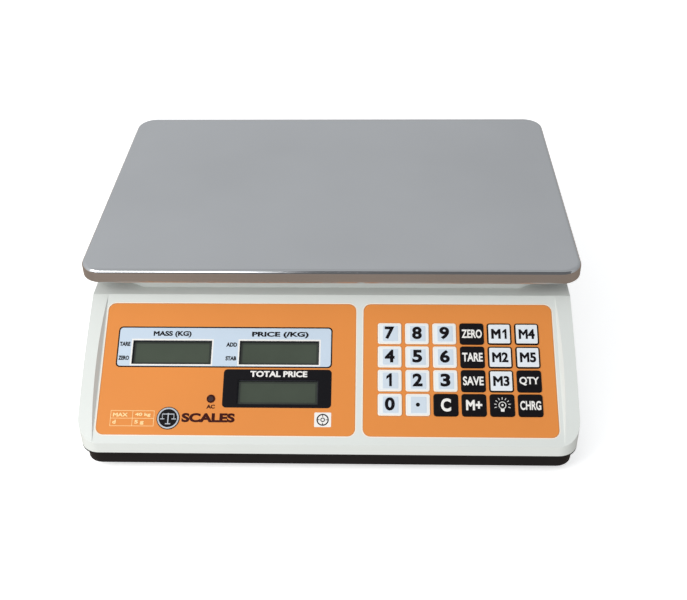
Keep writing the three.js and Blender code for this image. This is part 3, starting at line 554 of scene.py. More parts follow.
def panel_cuts():
    reach = CHEEK_CROWN + MM
    inner, outer = floor_half, floor_half + 0.8 * reach
    across = [(-inner, 0), (inner, 0), (outer, reach), (-outer, reach)]
    turned = Matrix(((1, 0, 0, 0), (0, 0, -1, slope_length), (0, 1, 0, 0), (0, 0, 0, 1)))
    cuts = [prism(across, 0, slope_length, PANEL @ turned)]
    for film in ("display_overlay", "keypad_overlay"):
        cuts.append(through(film, PANEL, FILM_SEAM, -FILM_POCKET, 10 * MM, FILM_CORNER + FILM_SEAM))
    for glass in ("lcd_weight", "lcd_unit_price", "lcd_total"):
        cuts.append(through(glass, PANEL, GLASS_CLEAR - GLASS_LAP, -CUT_DEPTH, MM))
        cuts.append(through(glass, PANEL, SEAM, -CUT_DEPTH, -GLASS_STEP))
    least, most = span("power_led", PANEL)
    lamp_hole = circle(*centre(least, most), (most.x - least.x) / 2 + SEAM)
    cuts.append(prism(lamp_hole, -CUT_DEPTH, MM, PANEL))
    lowest = span("keypad_circuit", PANEL)[1].z - 2 * MM
    cuts.append(through("keypad_circuit", PANEL, SEAM, lowest, 0))
    return cuts


def rear_cuts():
    cuts = [through("rear_overlay", REAR, FILM_SEAM, -FILM_POCKET, 10 * MM, FILM_CORNER + FILM_SEAM)]
    cuts.append(through("rear_lcd", REAR, GLASS_CLEAR - GLASS_LAP, -6 * MM, MM))
    cuts.append(through("mains_inlet", REAR, SEAM - 2 * MM, -8 * MM, 10 * MM))
    return cuts


def deck_cuts():
    cuts = []
    cell_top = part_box("load_cell")[1].z
    bolt_low, bolt_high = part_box("cell_bolt_hub_1")
    far_low, far_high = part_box("cell_bolt_hub_2")
    middle_x = (min(bolt_low.x, far_low.x) + max(bolt_high.x, far_high.x)) / 2
    middle_y = (bolt_low.y + bolt_high.y) / 2
    hole = rectangle(*about(middle_x, middle_y, *HUB_HOLE), 2 * MM)
    cuts.append(prism(hole, cell_top - 5 * MM, house_high.z))
    vial_low, vial_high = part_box("level_vial")
    vial_hole = circle(*centre(vial_low, vial_high), (vial_high.x - vial_low.x) / 2 + SEAM, 48)
    cuts.append(prism(vial_hole, shoulder - 4 * MM, house_high.z))
    return cuts


def switch_cut():
    low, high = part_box("switch_frame")
    outline = rectangle((low.y + 1.4 * MM, low.z + 1.4 * MM), (high.y - 1.4 * MM, high.z - 1.4 * MM))
    return side_prism(outline, half_width - 6 * MM, half_width + MM)


def stops():
    """The four posts on the deck that stop the platform when the scale is overloaded."""
    posts = []
    pads = [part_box("pan_pad_" + corner) for corner in CORNERS]
    middle_y = sum((low.y + high.y) / 2 for low, high in pads) / 4
    for low, high in pads:
        x, y = centre(low, high)
        px = x - math.copysign(STOP_SHIFT[0], x)
        py = y - math.copysign(STOP_SHIFT[1], y - middle_y)
        post = prism(circle(px, py, STOP_RADIUS, 40), shoulder, house_high.z)
        posts.append(settle(soften(post, 0.6 * MM, 3)))
    return posts


def hollow():
    low, top, back, foot = body_section(WALL, PANEL_WALL)
    under = house_low.z - MM
    section = [(low[0], under), (foot[0], under), foot, back, top, low]
    inner = side_prism(section, WALL - half_width, half_width - WALL)
    combine(inner, [prism(plan(WALL), under - MM, house_high.z)], "INTERSECT")
    x = half_width - DECK_SIDE - WALL - 12 * MM
    front, back = panel_top + DECK_SETBACK + 14 * MM, rear_top - DECK_SETBACK - 14 * MM
    raised = prism(rectangle((-x, front), (x, back)), shoulder - 9 * MM, shoulder + DECK_RISE - WALL)
    return combine(inner, [raised], "UNION")


def upper_housing():
    body = body_shell()
    combine(body, [deck_plate(), *stops()], "UNION")
    combine(body, [hollow(), *panel_cuts(), *rear_cuts(), *deck_cuts(), switch_cut()])
    own(body, "housing", "white_abs")
    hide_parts("upper_housing")
    shade(settle(soften(body, 0.22 * MM, 2, 40)), 32)


upper_housing()


# ---- Platter ----
def platter():
    low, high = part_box("platter")

    def ring(inset, level):
        corner = max(PLATTER_CORNER - inset, 0.5 * MM)
        outline = rectangle(*grown(low.xy, high.xy, -inset), corner, 12)
        return [(px, py, level) for px, py in outline]

    def bend(radius):
        turns = [math.pi / 2 * k / 8 for k in range(9)]
        top = high.z - BEND
        return [ring(BEND - radius * math.cos(t), top + radius * math.sin(t)) for t in turns]

    hem = SHEET / 2
    rings = [ring(BEND + 9 * MM, high.z - SHEET), *bend(BEND - SHEET)[::-1]]
    rings.append(ring(SHEET, low.z + 2 * MM))
    for k in range(7):
        turn = math.pi * k / 6
        rings.append(ring(hem + hem * math.cos(turn), low.z + hem - hem * math.sin(turn)))
    rings += [ring(0, low.z + 2 * MM), *bend(BEND), ring(BEND + 9 * MM, high.z)]
    piece = loft("platter_pan", rings)
    own(piece, "platter", "stainless")
    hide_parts("platter")
    shade(piece, 50)


platter()


# ---- Printing on the films ----
PRINTED = film_face + INK
HEADING_WEIGHT = 0.04
LABEL_WEIGHT = 0.045


def printed(name, outlines, slot, look=None, place=PANEL, base=film_face, top=PRINTED):
    """A field of ink: an outline with holes in it, or a line where the hole is a smaller copy."""
    piece = sheet(name, outlines, base - 0.1 * MM, top, place)
    return own(piece, "housing", slot, look)


def figure_one(name, low, high, base, top):
    """The figure 1 with its flag, which the plain font draws as a bar."""
    corners = [(1, 0), (1, 1), (0.66, 1), (0, 0.76), (0, 0.54), (0.5, 0.7), (0.5, 0)]
    outline = [between(low, high, *corner) for corner in corners]
    return sheet(name, [outline], base, top, PANEL)


def words(name, text, corners, slot, look=None, weight=LABEL_WEIGHT, place=PANEL, base=film_face):
    piece = lettering(name, text, *corners, base - 0.05 * MM, base + 2.2 * INK, place, weight)
    return own(piece, "housing", slot, look)


def window_of(glass):
    least, most = span(glass, PANEL)
    return grown(least.xy, most.xy, -GLASS_LAP)


def between(low, high, across, up):
    """A point inside a rectangle, given as shares of its width and height."""
    return low[0] + across * (high[0] - low[0]), low[1] + up * (high[1] - low[1])


def film_borders():
    """A cream ring round each film on the housing: a painted highlight where the edge of the film's
    pocket catches light.
    """
    for node in ("display_overlay", "keypad_overlay"):
        least, most = span(node, PANEL)
        outer = rectangle(*grown(least.xy, most.xy, FILM_HIGHLIGHT), FILM_CORNER + FILM_HIGHLIGHT)
        inner = rectangle(*grown(least.xy, most.xy, FILM_SEAM), FILM_CORNER + FILM_SEAM)
        # painted highlight: the cream ring stands in for the light on the edge of the film's pocket
        printed(node + "_edge_highlight", [outer, inner], "print_white", "cream_print_and_highlight", top=INK)


def display_printing():
    weight, price, total = (window_of(n) for n in ("lcd_weight", "lcd_unit_price", "lcd_total"))
    margin_left, margin_right, below, above = 10.2 * MM, 8.6 * MM, 2.0 * MM, 9.6 * MM
    right = price[1][0] + margin_right
    field = (weight[0][0] - margin_left, weight[0][1] - below), (right, price[1][1] + above)
    line, halo, sleeve = 0.9, 0.75, 0.2
    holes = [rectangle(*grown(*w, halo * MM)) for w in (weight, price)]
    edge = border(*field, 0, -line, 2.8, 2.2)
    printed("price_field", [edge[1], *holes], "print_blue")
    printed("price_field_line", edge, "print_dark")
    for name, window in (("weight", weight), ("price", price)):
        printed(name + "_window_line", border(*window, halo, 0), "print_white")
    for name, window in (("weight", weight), ("price", price), ("total", total)):
        slot = "print_dark" if name == "total" else "print_white"
        edge = border(*window, 0, -sleeve)
        printed(name + "_window_edge", edge, slot, base=0.2 * MM - FILM_POCKET)
    field = (total[0][0] - 9.3 * MM, total[0][1] - 2.1 * MM), (right, total[1][1] + 7.0 * MM)
    outline = [rectangle(*field, 2.6 * MM), rectangle(*total)]
    printed("total_field", outline, "print_dark", "black_film")

    headings = (
        ("weight", "MASS (KG)", weight, 13.6, 1.9, 39.4, 6.4),
        ("price", "PRICE (/KG)", price, 8.2, 1.7, 46.4, 6.2),
        ("total", "TOTAL PRICE", total, 8.4, 1.7, 46.4, 5.9),
    )
    for name, text, window, *extent in headings:
        slot = "print_white" if name == "total" else "print_dark"
        corners = about(window[0][0], window[1][1], *extent)
        words(name + "_heading", text, corners, slot, weight=HEADING_WEIGHT, base=PRINTED)
    labels = (
        ("tare", "TARE", weight, 0.83),
        ("zero", "ZERO", weight, 0.26),
        ("add", "ADD", price, 0.82),
        ("stable", "STAB", price, 0.26),
    )
    for name, text, window, up in labels:
        corners = about(*between(*window, 0, up), -8.8, -1.5, -1.6, 1.5)
        words(name + "_label", text, corners, "print_dark", base=PRINTED)


def power_lamp():
    least, most = span("power_led", PANEL)
    x, y = centre(least, most)
    radius = (most.x - least.x) / 2
    ring = [circle(x, y, radius + 0.3 * MM), circle(x, y, radius - 0.5 * MM)]
    printed("lamp_ring", ring, "print_dark", "brown_ink", top=film_face + 0.3 * MM)
    words("lamp_label", "AC", about(x, y, -2.7, -6.7, 2.9, -4.0), "print_dark", "brown_ink")


def capacity_table():
    """The small framed table of capacity and division in the lower left corner."""
    x0, y0 = film_low.x + 8.8 * MM, film_low.y + 5.7 * MM
    x1, y1 = x0 + 28.9 * MM, y0 + 10.6 * MM
    split, middle, line = x0 + 14.6 * MM, (y0 + y1) / 2, 0.3 * MM
    cells = [
        rectangle((a + line, b + line), (c - line, d - line))
        for a, c in ((x0, split + line / 2), (split - line / 2, x1))
        for b, d in ((y0, middle + line / 2), (middle - line / 2, y1))
    ]
    frame_line = rectangle((x0, y0), (x1, y1))
    printed("table_lines", [frame_line, *cells], "print_white", "pale_line_ink")
    texts = (
        ("max", "MAX", 1.6, 6.4, 11.6, 9.0),
        ("max_value", "40 kg", 16.2, 6.3, 26.6, 9.1),
        ("step", "d", 1.7, 1.5, 3.9, 4.3),
        ("step_value", "5 g", 16.2, 1.0, 22.4, 4.2),
    )
    for name, text, *extent in texts:
        words("table_" + name, text, about(x0, y0, *extent), "print_white", "pale_line_ink")


def badge():
    """A plain round badge with a balance on it, beside a plain word."""
    x, y = film_low.x + 47 * MM, film_low.y + 11.2 * MM
    plate, picture = film_face + 0.25 * MM, film_face + 0.4 * MM
    printed("badge_plate", [circle(x, y, 7.6 * MM, 48)], "print_dark", top=plate)
    ring = hoop(x, y, 7.1, 6.1, 48)
    printed("badge_ring", ring, "print_white", "silver_ink", base=plate, top=picture)
    strokes = {
        "column": (-0.35, -3.6, 0.35, 3.4),
        "beam": (-4.0, 2.4, 4.0, 3.0),
        "foot": (-1.8, -4.2, 1.8, -3.5),
        "left_pan": (-5.3, -0.9, -2.3, -0.3),
        "right_pan": (2.3, -0.9, 5.3, -0.3),
        "left_hanger": (-4.0, -0.4, -3.6, 2.6),
        "right_hanger": (3.6, -0.4, 4.0, 2.6),
    }
    bars = []
    for k, (name, extent) in enumerate(strokes.items()):
        outline = rectangle(*about(x, y, *extent), 0.15 * MM, 3)
        bar = sheet(name, [outline], plate, picture + 0.01 * k * MM, PANEL)
        bars.append(paint(bar, "silver_ink"))
    ride(join("badge_balance", bars), "housing")
    corners = about(x, y, 8.8, -2.6, 43.8, 3.6)
    words("badge_word", "SCALES", corners, "print_dark", "brown_ink", 0.05)


def level_mark():
    """A white square with a round level drawn on it, in the lower right corner."""
    x1, y0 = film_high.x - 15.6 * MM, film_low.y + 6.0 * MM
    x0, y1 = x1 - 11 * MM, y0 + 9.8 * MM
    x, y = (x0 + x1) / 2, (y0 + y1) / 2
    printed("mark_square", [rectangle((x0, y0), (x1, y1), 0.6 * MM)], "print_white")
    base, top = PRINTED - INK, PRINTED + INK
    parts = [
        sheet("ring", hoop(x, y, 4.0, 3.2, 40), base, top, PANEL),
        sheet("spot", hoop(x, y, 1.5, 0.9), base, top, PANEL),
    ]
    ticks = {
        "right": (2.0, -0.25, 3.4, 0.25),
        "left": (-3.4, -0.25, -2.0, 0.25),
        "up": (-0.25, 2.0, 0.25, 3.4),
        "down": (-0.25, -3.4, 0.25, -2.0),
    }
    for name, extent in ticks.items():
        outline = rectangle(*about(x, y, *extent))
        parts.append(sheet(name, [outline], base, PRINTED + 0.9 * INK, PANEL))
    painted = [paint(part, "print_dark") for part in parts]
    ride(join("mark_level", painted), "housing")


film_borders()
display_printing()
power_lamp()
capacity_table()
badge()
level_mark()


# ---- Displays ----
def display_glass(node, place, name, edge):
    """Display glass in place of the frame's. Returns the level of its front."""
    least, most = span(node, place)
    glass = prism(rectangle(least.xy, most.xy, 0.6 * MM), least.z, most.z, place, name)
    own(glass, "housing", "liquid_crystal")
    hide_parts(node)
    shade(settle(soften(glass, edge, 2)))
    return most.z


def display(node):
    """A display with its dark seal line and a dark ring that closes it to its window, lining the window
    walls: the ring's dark colour is painted shade for the recess.
    """
    front = display_glass(node, PANEL, node + "_glass", 0.35 * MM)
    window = window_of(node)
    seal = border(*window, 0, -2.2, 0, 0.8)
    line = sheet(node + "_seal_line", seal, front, front + 0.05 * MM, PANEL)
    own(line, "housing", "liquid_crystal", "display_edge")
    # painted shade: a dark ring lines the window walls from the glass to the film
    ring = border(*window, 0.4, -0.75, 0, 0.5)
    shade_lining = sheet(node + "_gasket", ring, front + 0.06 * MM, -FILM_POCKET - 0.05 * MM, PANEL)
    own(shade_lining, "housing", "foot_rubber", "display_gasket")


for node in ("lcd_weight", "lcd_unit_price", "lcd_total"):
    display(node)


# ---- Keys ----
KEYS = {f"key_{n}": str(n) for n in range(10)}
KEYS |= {"key_point": ".", "key_clear": "C", "key_m_plus": "M+"}
KEYS |= {f"key_m{n}": f"M{n}" for n in range(1, 6)}
KEYS |= {"key_zero": "ZERO", "key_tare": "TARE", "key_save": "SAVE"}
KEYS |= {"key_quantity": "QTY", "key_charge": "CHRG", "key_light": ""}
LETTER_SIZES = {1: (6.6, 9.0), 2: (10.6, 7.0), 3: (13.0, 6.0), 4: (13.6, 6.2)}
LEGEND_WEIGHTS = {1: 0.042, 2: 0.04, 3: 0.03, 4: 0.03}
DOME = 0.16 * MM
KEY_EDGE = 0.3 * MM
KEY_CORNER = 1.6 * MM


def key_rings(least, most):
    """Rings of a key, each with the shade of the surface that starts there."""
    x, y = centre(least, most)
    face = most.z

    def square(inset, level):
        corner = max(KEY_CORNER - inset, 0.3 * MM)
        outline = rectangle(*grown(least.xy, most.xy, -inset), corner, 7)
        return [(px, py, level) for px, py in outline]

    def disc(radius, level):
        angles = [math.atan2(py - y, px - x) for px, py, _ in square(2 * MM, level)]
        return [(x + radius * math.cos(a), y + radius * math.sin(a), level) for a in angles]

    sides = [square(0, least.z), square(0, face - KEY_EDGE)]
    for k in (1, 2, 3):
        turn = math.pi / 2 * k / 3
        level = face - KEY_EDGE * (1 - math.sin(turn))
        sides.append(square(KEY_EDGE * (1 - math.cos(turn)), level))
    bands = [square(0.85 * MM, face), square(1.3 * MM, face)]
    heights = ((6.1, 0.125), (5.9, 0.6), (5.5, 0.85), (4.5, 0.95), (2.0, 1.0))
    dome = [disc(radius * MM, face + share * DOME) for radius, share in heights]
    return sides, bands, dome


def key_cap(node, style):
    least, most = span(node, PANEL)
    sides, bands, dome = key_rings(least, most)
    cap = loft(node + "_cap", [*sides, *bands, *dome], PANEL)
    mesh = cap.data
    looks = {
        "number": ("cream_print_and_highlight", "key_band_ink", "key_pale"),
        "memory": ("print_dark", "print_white", "key_band_ink"),
        "dark": ("key_dark", "key_dark", "key_dark"),
    }[style]
    for look in looks:
        mesh.materials.append(LOOKS[look])
    per_ring = len(sides[0])
    for polygon in mesh.polygons:
        ring = polygon.index // per_ring
        polygon.material_index = 0 if ring < len(sides) else 1 if ring == len(sides) else 2
    mesh.polygons[-2].material_index = 0
    ride(cap, node)
    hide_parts(node)
    shade(cap, 40)
    return least, most


def key_legend(node, text, slot, middle, level, shift):
    """The legend on a key, standing just over the dome under it."""
    base, top = level - 0.1 * MM, level + DOME + 0.03 * MM
    x, y = middle
    if text == ".":
        piece = sheet(node + "_legend", [circle(x, y, 1.35 * MM)], base, top, PANEL)
    elif text:
        width, height = (size * MM for size in LETTER_SIZES[len(text)])
        low = x - width / 2, y + shift - height / 2
        high = x + width / 2, y + shift + height / 2
        if text == "1":
            corners = (x - 2.2 * MM, low[1]), (x + 1.4 * MM, high[1])
            piece = figure_one(node + "_legend", *corners, base, top)
        elif text == "M1":
            letter = lettering("letter", "M", low, (x + 1.0 * MM, high[1]), base, top, PANEL, 0.05)
            corners = (x + 2.2 * MM, low[1]), (high[0] - 0.4 * MM, high[1])
            piece = join(node + "_legend", [letter, figure_one("figure", *corners, base, top)])
        else:
            weight = LEGEND_WEIGHTS[len(text)]
            piece = lettering(node + "_legend", text, low, high, base, top, PANEL, weight)
    else:
        piece = lamp_picture(node + "_legend", x, y - 0.4 * MM, base, top)
    own(piece, node, slot)


def lamp_picture(name, x, y, base, top):
    """A bulb with rays round it, for the key that lights the displays."""
    neck = rectangle(*about(x, y, -1.2, -3.9, 1.2, -1.7), 0.4 * MM, 4)
    parts = [
        sheet("bulb", hoop(x, y + 0.4 * MM, 2.5, 2.05, 28), base, top, PANEL),
        sheet("neck", [neck], base, top, PANEL),
        sheet("filament", [circle(x, y + 0.5 * MM, 0.7 * MM, 16)], base, top, PANEL),
    ]
    hub = Vector((x, y + 0.4 * MM))
    corners = ((3.9, -0.2), (5.4, -0.2), (5.4, 0.2), (3.9, 0.2))
    for k in range(9):
        angle = math.pi * (-0.1 + 1.2 * k / 8)
        along = Vector((math.cos(angle), math.sin(angle)))
        beside = Vector((-math.sin(angle), math.cos(angle)))
        ray = [hub + along * r * MM + beside * w * MM for r, w in corners]
        parts.append(sheet(f"ray_{k}", [ray], base, top, PANEL))
    return join(name, parts)


def keypad():
    for node, text in KEYS.items():
        if SLOTS[node] == "key_dark":
            style, slot = "dark", "print_white"
        else:
            style, slot = "memory" if text.startswith("M") else "number", "print_dark"
        least, most = key_cap(node, style)
        middle = centre(least, most)
        if style == "number":
            printed_square(node, middle, most.z)
        shift = 0.4 * MM if style == "number" and text != "." else 0
        key_legend(node, text, slot, middle, most.z, shift)


def printed_square(node, middle, level):
    """The pale blue rectangle printed inside each number key."""
    outline = rectangle(*about(*middle, -4.6, -5.6, 5.6, 5.4), 0.4 * MM, 3)
    top = level + DOME + 0.012 * MM
    piece = sheet(node + "_tint", [outline], level - 0.1 * MM, top, PANEL)
    own(piece, node, "print_blue", "key_face_ink")


keypad()


# ---- Round pieces ----
def revolve(name, profile, x, y, sides=64):
    """A solid turned about an upright axis through rings given as (radius, level)."""
    return loft(name, [[(*point, z) for point in circle(x, y, r, sides)] for r, z in profile])


def rings_at(level, *steps):
    """Profile points from radii and heights over a level, both in millimetres."""
    return [(radius * MM, level + height * MM) for radius, height in steps]


def rounded_end(radius, level, fillet, up, steps=4):
    """Profile points of a rounded rim, from the side wall to the end face or back again."""
    points = []
    for k in range(steps + 1):
        turn = math.pi / 2 * k / steps
        rise = fillet * (math.sin(turn) - 1)
        points.append((radius - fillet * (1 - math.cos(turn)), level + up * rise))
    return points


def middle_of(node):
    low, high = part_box(node)
    return low, high, *centre(low, high)


def feet():
    for corner in CORNERS:
        name = "foot_" + corner
        low, high, x, y = middle_of(name)
        radius = (high.x - low.x) / 2
        disc_top = low.z + 9.7 * MM
        tread = rings_at(low.z, (0.5, 1), (4, 1), (4.6, 0), (7, 0), (7.6, 1), (8.6, 1), (9.2, 0))
        side = rounded_end(radius, low.z, 1.2 * MM, -1)[::-1]
        top = rounded_end(radius, disc_top, 0.6 * MM, 1)
        flat = rings_at(disc_top, (3.4, 0), (0.5, 0))
        pad = revolve(name + "_pad", [*tread, *side, *top, *flat], x, y)
        own(pad, name, "foot_rubber")
        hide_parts(name)
        shade(pad, 40)
        threads = rings_at(disc_top, (0.5, -1), (2.7, -1))
        pitch = 0.8 * MM
        for k in range(int((high.z - disc_top - 0.5 * MM) / pitch)):
            threads += rings_at(disc_top + k * pitch, (2.6, 0), (3.0, 0.4))
        threads += rings_at(high.z, (2.5, -0.4), (2.1, 0), (0.5, 0))
        stud = revolve(name + "_stud", threads, x, y, 40)
        own(stud, name, "plated_steel")
        shade(stud, 30)


def pan_pads():
    for corner in CORNERS:
        name = "pan_pad_" + corner
        low, high, x, y = middle_of(name)
        radius = (high.x - low.x) / 2
        shelf = high.z - 2.7 * MM
        stem = rings_at(low.z, (0.5, 0), (2.4, 0), (2.9, 0.6))
        under = [(2.9 * MM, shelf), (radius - 0.5 * MM, shelf)]
        side = rounded_end(radius, shelf, 0.5 * MM, -1)[::-1] + rounded_end(radius, high.z, 0.8 * MM, 1)
        profile = [*stem, *under, *side, *rings_at(high.z, (4, 0), (3.6, -0.4), (0.5, -0.4))]
        pad = revolve(name + "_rubber", profile, x, y, 48)
        own(pad, "weighing_platform", "foot_rubber")
        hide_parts(name)
        shade(pad, 40)


def vial():
    low, high, x, y = middle_of("level_vial")
    radius = (high.x - low.x) / 2
    body = [(0.5 * MM, low.z), *rounded_end(radius, low.z, 0.4 * MM, -1)[::-1],
            *rounded_end(radius, high.z, 0.5 * MM, 1), (radius - 1.6 * MM, high.z),
            (radius - 2.0 * MM, high.z - 0.5 * MM), (0.5 * MM, high.z - 0.5 * MM)]
    rim = revolve("level_vial_rim", body, x, y)
    own(rim, "housing", "level_bubble", "white_abs")
    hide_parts("level_vial")
    shade(rim, 35)
    inner, face = radius - 2.05 * MM, high.z - 0.5 * MM
    rise = 0.45 * MM
    turns = [math.pi / 2 * k / 8 for k in range(8)]
    dome = [(inner * math.cos(t), face + rise * math.sin(t)) for t in turns]
    foot = [(0.3 * MM, face - 0.2 * MM), (inner, face - 0.2 * MM)]
    lens = revolve("level_vial_lens", [*foot, *dome, (0.1 * MM, high.z - 0.05 * MM)], x, y)
    own(lens, "housing", "level_bubble", "vial_liquid")
    shade(lens, 50)
    ring = hoop(x, y, 2.1, 1.9, 40)
    mark = sheet("level_vial_mark", ring, face + 0.3 * MM, high.z - 0.03 * MM, Matrix())
    own(mark, "housing", "print_dark")


feet()
pan_pads()
vial()


# ---- Rear face: customer display and mains inlet ----
REAR_WINDOW = (-22, -8.5, 22, 8.5)  # millimetres from its middle
REAR_PITCH = 52 * MM


def rear_display():
    film_least, film_most = span("rear_overlay", REAR)
    middle = (film_least.y + film_most.y) / 2
    front = display_glass("rear_lcd", REAR, "rear_glass", 0.3 * MM)
    for k, text in ((-1, "MASS (kg)"), (0, "PRICE"), (1, "TOTAL")):
        name = "rear_" + text.split()[0].lower()
        x = k * REAR_PITCH
        low, high = about(x, middle, *REAR_WINDOW)
        # painted shade: a dark ring lines the window walls round the rear glass
        ring = border(low, high, 0.2, -0.8, 0, 0.5)
        shade_lining = sheet(name + "_gasket", ring, front + 0.05 * MM, film_face - 0.62 * MM, REAR)
        own(shade_lining, "housing", "foot_rubber", "display_gasket")
        line = border(low, high, 1.1, 0.7, 0.8, 0.5)
        printed(name + "_line", line, "print_white", place=REAR)
        reach = 12 if " " in text else 8
        corners = about(x, high[1], -reach, 2.6, reach, 5.8)
        words(name + "_heading", text, corners, "print_white", weight=0.02, place=REAR)


def inlet_pins():
    """The three plated blades inside the mains inlet."""
    least, most = span("mains_inlet", REAR)
    x, y = centre(least, most)
    blades = []
    for dx, dy in ((0, 5.5), (-7, 3), (7, 3)):
        outline = rectangle(*about(x, y, dx - 1.05, dy - 2.05, dx + 1.05, dy + 2.05))
        blade = prism(outline, least.z + 2 * MM, -3.9 * MM, REAR, "blade")
        blades.append(paint(settle(soften(blade, 0.35 * MM, 3)), "plated_steel"))
    pins = join("inlet_pins", blades)
    ride(pins, "housing")
    shade(pins)


rear_display()
inlet_pins()


# ---- Underside ----
SCREW_HEAD = (
    (0.3, -0.1), (3.5, -0.1), (3.5, -0.9), (3.255, -1.5), (2.52, -2.0), (1.4, -2.25), (0.3, -2.3),
)


def housing_screws():
    """The four screws that hold the base to the housing, in their holes under it."""
    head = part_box("base_shell")[1].z - 8 * MM
    for sx, side in ((-1, "left"), (1, "right")):
        for sy, end in ((-1, "front"), (1, "rear")):
            x, y = sx * (half_width - SCREW_INSET), sy * SCREW_REACH
            screw = revolve(f"screw_{end}_{side}", rings_at(head, *SCREW_HEAD), x, y, 40)
            cross = []
            for wide, deep in ((1.9, 0.35), (0.35, 1.9)):
                outline = rectangle(*about(x, y, -wide, -deep, wide, deep))
                cross.append(prism(outline, head - 3 * MM, head - 1.1 * MM))
            combine(screw, cross)
            own(screw, "housing", "plated_steel")
            shade(screw, 35)


def door_grips():
    """Finger ribs and a plain arrow on the battery door."""
    low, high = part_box("battery_door")
    lower = low.z - 0.45 * MM
    x = (low.x + high.x) / 2
    parts = []
    for k in range(6):
        y = low.y + (5 + 2.2 * k) * MM
        outline = rectangle(*about(x, y, -14, 0, 14, 1.1), 0.5 * MM, 4)
        rib = prism(outline, lower, low.z + 0.3 * MM, name="rib")
        parts.append(paint(settle(soften(rib, 0.3 * MM, 2)), "black_abs"))
    y = low.y + 22 * MM
    tip = [Vector((x - 5 * MM, y)), Vector((x + 5 * MM, y)), Vector((x, y + 6 * MM))]
    arrow = prism(tip, lower + 0.1 * MM, low.z + 0.3 * MM, name="arrow")
    parts.append(paint(arrow, "black_abs"))
    grips = join("battery_door_grips", parts)
    ride(grips, "battery_door")
    shade(grips)


def base_flange():
    """The thin flange of the base that shows as a dark line under the housing's skirt."""
    level = house_low.z - SEAM
    outlines = [plan(0), plan(4 * MM)]
    flange = sheet("base_flange", outlines, level - 1.3 * MM, level, Matrix())
    own(settle(soften(flange, 0.35 * MM, 2)), "housing", "black_abs")
    shade(flange)


housing_screws()
door_grips()
base_flange()


# ---- Power switch ----
def rocker_marks():
    """The line and the ring on the two halves of the rocker."""
    faces = [f for f in frame["nodes"]["power_rocker"].data.polygons if f.normal.x > 0.8]
    low, high, _, middle = middle_of("power_rocker")
    z = (low.z + high.z) / 2
    marks = []
    for sign in (-1, 1):
        half = [f for f in faces if (f.center.y - middle) * sign > 0]
        face = max(half, key=lambda f: f.area)
        normal = face.normal.normalized()
        y = middle + sign * 4.6 * MM
        x = face.center.x - (y - face.center.y) * normal.y / normal.x
        across = Vector((0, 0, 1)).cross(normal).normalized()
        place = face_axes(normal, across, Vector((x, y, z)))
        if sign < 0:
            outlines = [rectangle(*about(0, 0, -0.35, -2.4, 0.35, 2.4))]
        else:
            outlines = hoop(0, 0, 2.4, 1.75, 36)
        marks.append(paint(sheet("mark", outlines, -0.1 * MM, 0.05 * MM, place), "print_white"))
    ride(join("rocker_marks", marks), "rocker")


rocker_marks()


# ---- Finer edges on the frame's own pieces ----
def refine(node, width, segments=2, angle=38):
    """Rounds a CAD piece's edges in its modifiers, and leaves its mesh as it is."""
    piece = frame["nodes"][node]
    weld = piece.modifiers.new("weld", "WELD")
    weld.merge_threshold = 0.002 * MM
    flat = piece.modifiers.new("flat", "DECIMATE")
    flat.decimate_type = "DISSOLVE"
    flat.angle_limit = math.radians(1)
    soften(piece, width, segments, angle)
    shade(piece, 36)


REFINED = {
    1.2: ["battery"],
    0.9: ["pan_support"],
    0.5: ["base_shell", "load_cell"],
    0.4: ["switch_frame", "transformer"],
    0.35: ["battery_door", "mains_inlet", "power_rocker"],
    0.3: ["cell_bolt_base_1", "cell_bolt_base_2", "cell_bolt_hub_1", "cell_bolt_hub_2"],
    0.15: ["main_board", "rear_board"],
    0.1: ["display_overlay", "keypad_overlay", "rear_overlay"],
    0.08: ["keypad_circuit"],
    0.05: ["power_led", "load_cell_cable"],
}
for width, nodes in REFINED.items():
    for node in nodes:
        refine(node, width * MM)


# ---- Floor and light ----
def see_through_from_below(tree):
    """Shows the underside of the scale in a view from under the floor."""
    sources = {
        "Fac": add_node(tree, "NewGeometry").outputs["Backfacing"],
        1: tree.nodes["Principled BSDF"].outputs["BSDF"],
        2: add_node(tree, "BsdfTransparent").outputs["BSDF"],
    }
    mix = add_node(tree, "MixShader", sources=sources)
    wire(tree, tree.nodes["Material Output"], sources={"Surface": mix.outputs["Shader"]})


def glowing_sheet(name, x, y, z, colour, glow):
    """A flat sheet between the two ends that each of x, y and z gives. It gives off its own light."""
    corners = [(x[0], y[0], z[0]), (x[1], y[0], z[0]), (x[1], y[1], z[1]), (x[0], y[1], z[1])]
    mesh = bpy.data.meshes.new(name)
    mesh.from_pydata(corners, [], [(0, 1, 2, 3)])
    piece = paint(add_object(name, mesh), name)
    emission = {"Emission Color": (*colour, 1), "Emission Strength": glow}
    tree = LOOKS[name].node_tree
    wire(tree, tree.nodes["Principled BSDF"], emission)
    return piece


def make_floor():
    surface("floor", (0.93, 0.93, 0.93), 0.9, 0, 0.004, 3, 400, 0.01, specular=0.1)
    floor = glowing_sheet("floor", (-12, 12), (-12, 12), (0, 0), (1, 1, 1), 0.5)
    see_through_from_below(LOOKS["floor"].node_tree)
    floor.visible_diffuse = False
    floor.visible_glossy = False


def area_light(name, place, aim, size, power, colour):
    data = bpy.data.lights.new(name, "AREA")
    data.shape = "RECTANGLE"
    data.size, data.size_y = size
    data.energy = power
    data.color = colour
    light = add_object(name, data)
    light.location = place
    light.rotation_euler = (Vector(aim) - Vector(place)).to_track_quat("-Z", "Y").to_euler()


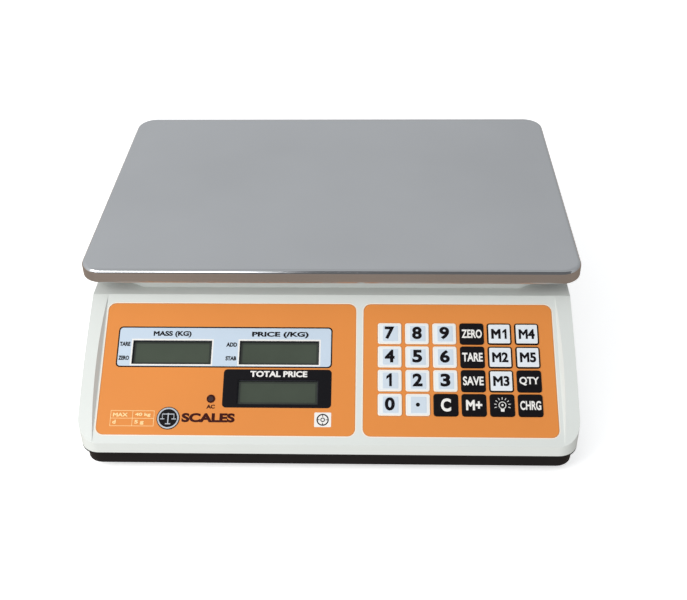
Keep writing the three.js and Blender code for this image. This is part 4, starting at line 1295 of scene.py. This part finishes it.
def make_light():
    """A pale room, brighter towards the operator and to the left, and one soft lamp."""
    world = bpy.data.worlds.new("studio")
    bpy.context.scene.world = world
    world.use_nodes = True
    tree = world.node_tree
    where = add_node(tree, "TexCoord").outputs["Generated"]
    axes = add_node(tree, "SeparateXYZ", sources={"Vector": where})
    sky = add_node(tree, "ValToRGB", sources={"Fac": axes.outputs["Z"]})
    ramp = sky.color_ramp.elements
    ramp[0].color = (0.68, 0.67, 0.66, 1)
    ramp[1].color = (0.50, 0.51, 0.52, 1)
    ramp.new(0.03).color = (0.50, 0.51, 0.52, 1)
    ramp.new(0.6).color = (0.62, 0.63, 0.645, 1)
    strengths = {}
    for k, (axis, *ends) in enumerate((("Y", 0.1, -0.9, 1.0, 1.55), ("X", -1.0, 1.0, 1.28, 0.74))):
        span_ends = dict(zip(("From Min", "From Max", "To Min", "To Max"), ends))
        slide = add_node(tree, "MapRange", span_ends, {"Value": axes.outputs[axis]})
        strengths[k] = slide.outputs["Result"]
    both = add_node(tree, "Math", sources=strengths)
    both.operation = "MULTIPLY"
    light = {"Color": sky.outputs["Color"], "Strength": both.outputs["Value"]}
    wire(tree, tree.nodes["Background"], sources=light)
    place, aim = (-0.8, -0.65, 0.75), (-0.05, -0.05, 0.05)
    area_light("key", place, aim, (0.7, 0.7), 7.0, (1, 0.985, 0.96))
    bpy.context.scene.view_settings.view_transform = "Standard"


def reflected_card(name, x, y, z, colour, glow):
    """A card that only shows as a reflection, like the table and the room that the steel mirrors."""
    surface(name, colour, 0.9, 0, 0.1, 4, 300, specular=0.1)
    card = glowing_sheet(name, x, y, z, colour, glow)
    card.visible_camera = False
    card.visible_diffuse = False
    card.visible_shadow = False
    card.visible_transmission = False


def make_cards():
    wood, dark, white = (0.30, 0.235, 0.19), (0.033, 0.033, 0.034), (1, 1, 1)
    reflected_card("table_card", (-1.5, 1.5), (-1.5, 0.6), (-MM, -MM), wood, 0.3)
    reflected_card("low_dark_card", (-1.5, 1.5), (-1.0, -1.0), (0, 0.4), dark, 4.5)
    reflected_card("high_dark_card", (-0.12, 1.5), (-1.0, -0.5), (0.4, 1.3), dark, 4.5)
    reflected_card("bright_card", (-1.3, -0.16), (-0.9, -0.8), (0.55, 0.85), white, 4)


make_floor()
make_light()
make_cards()
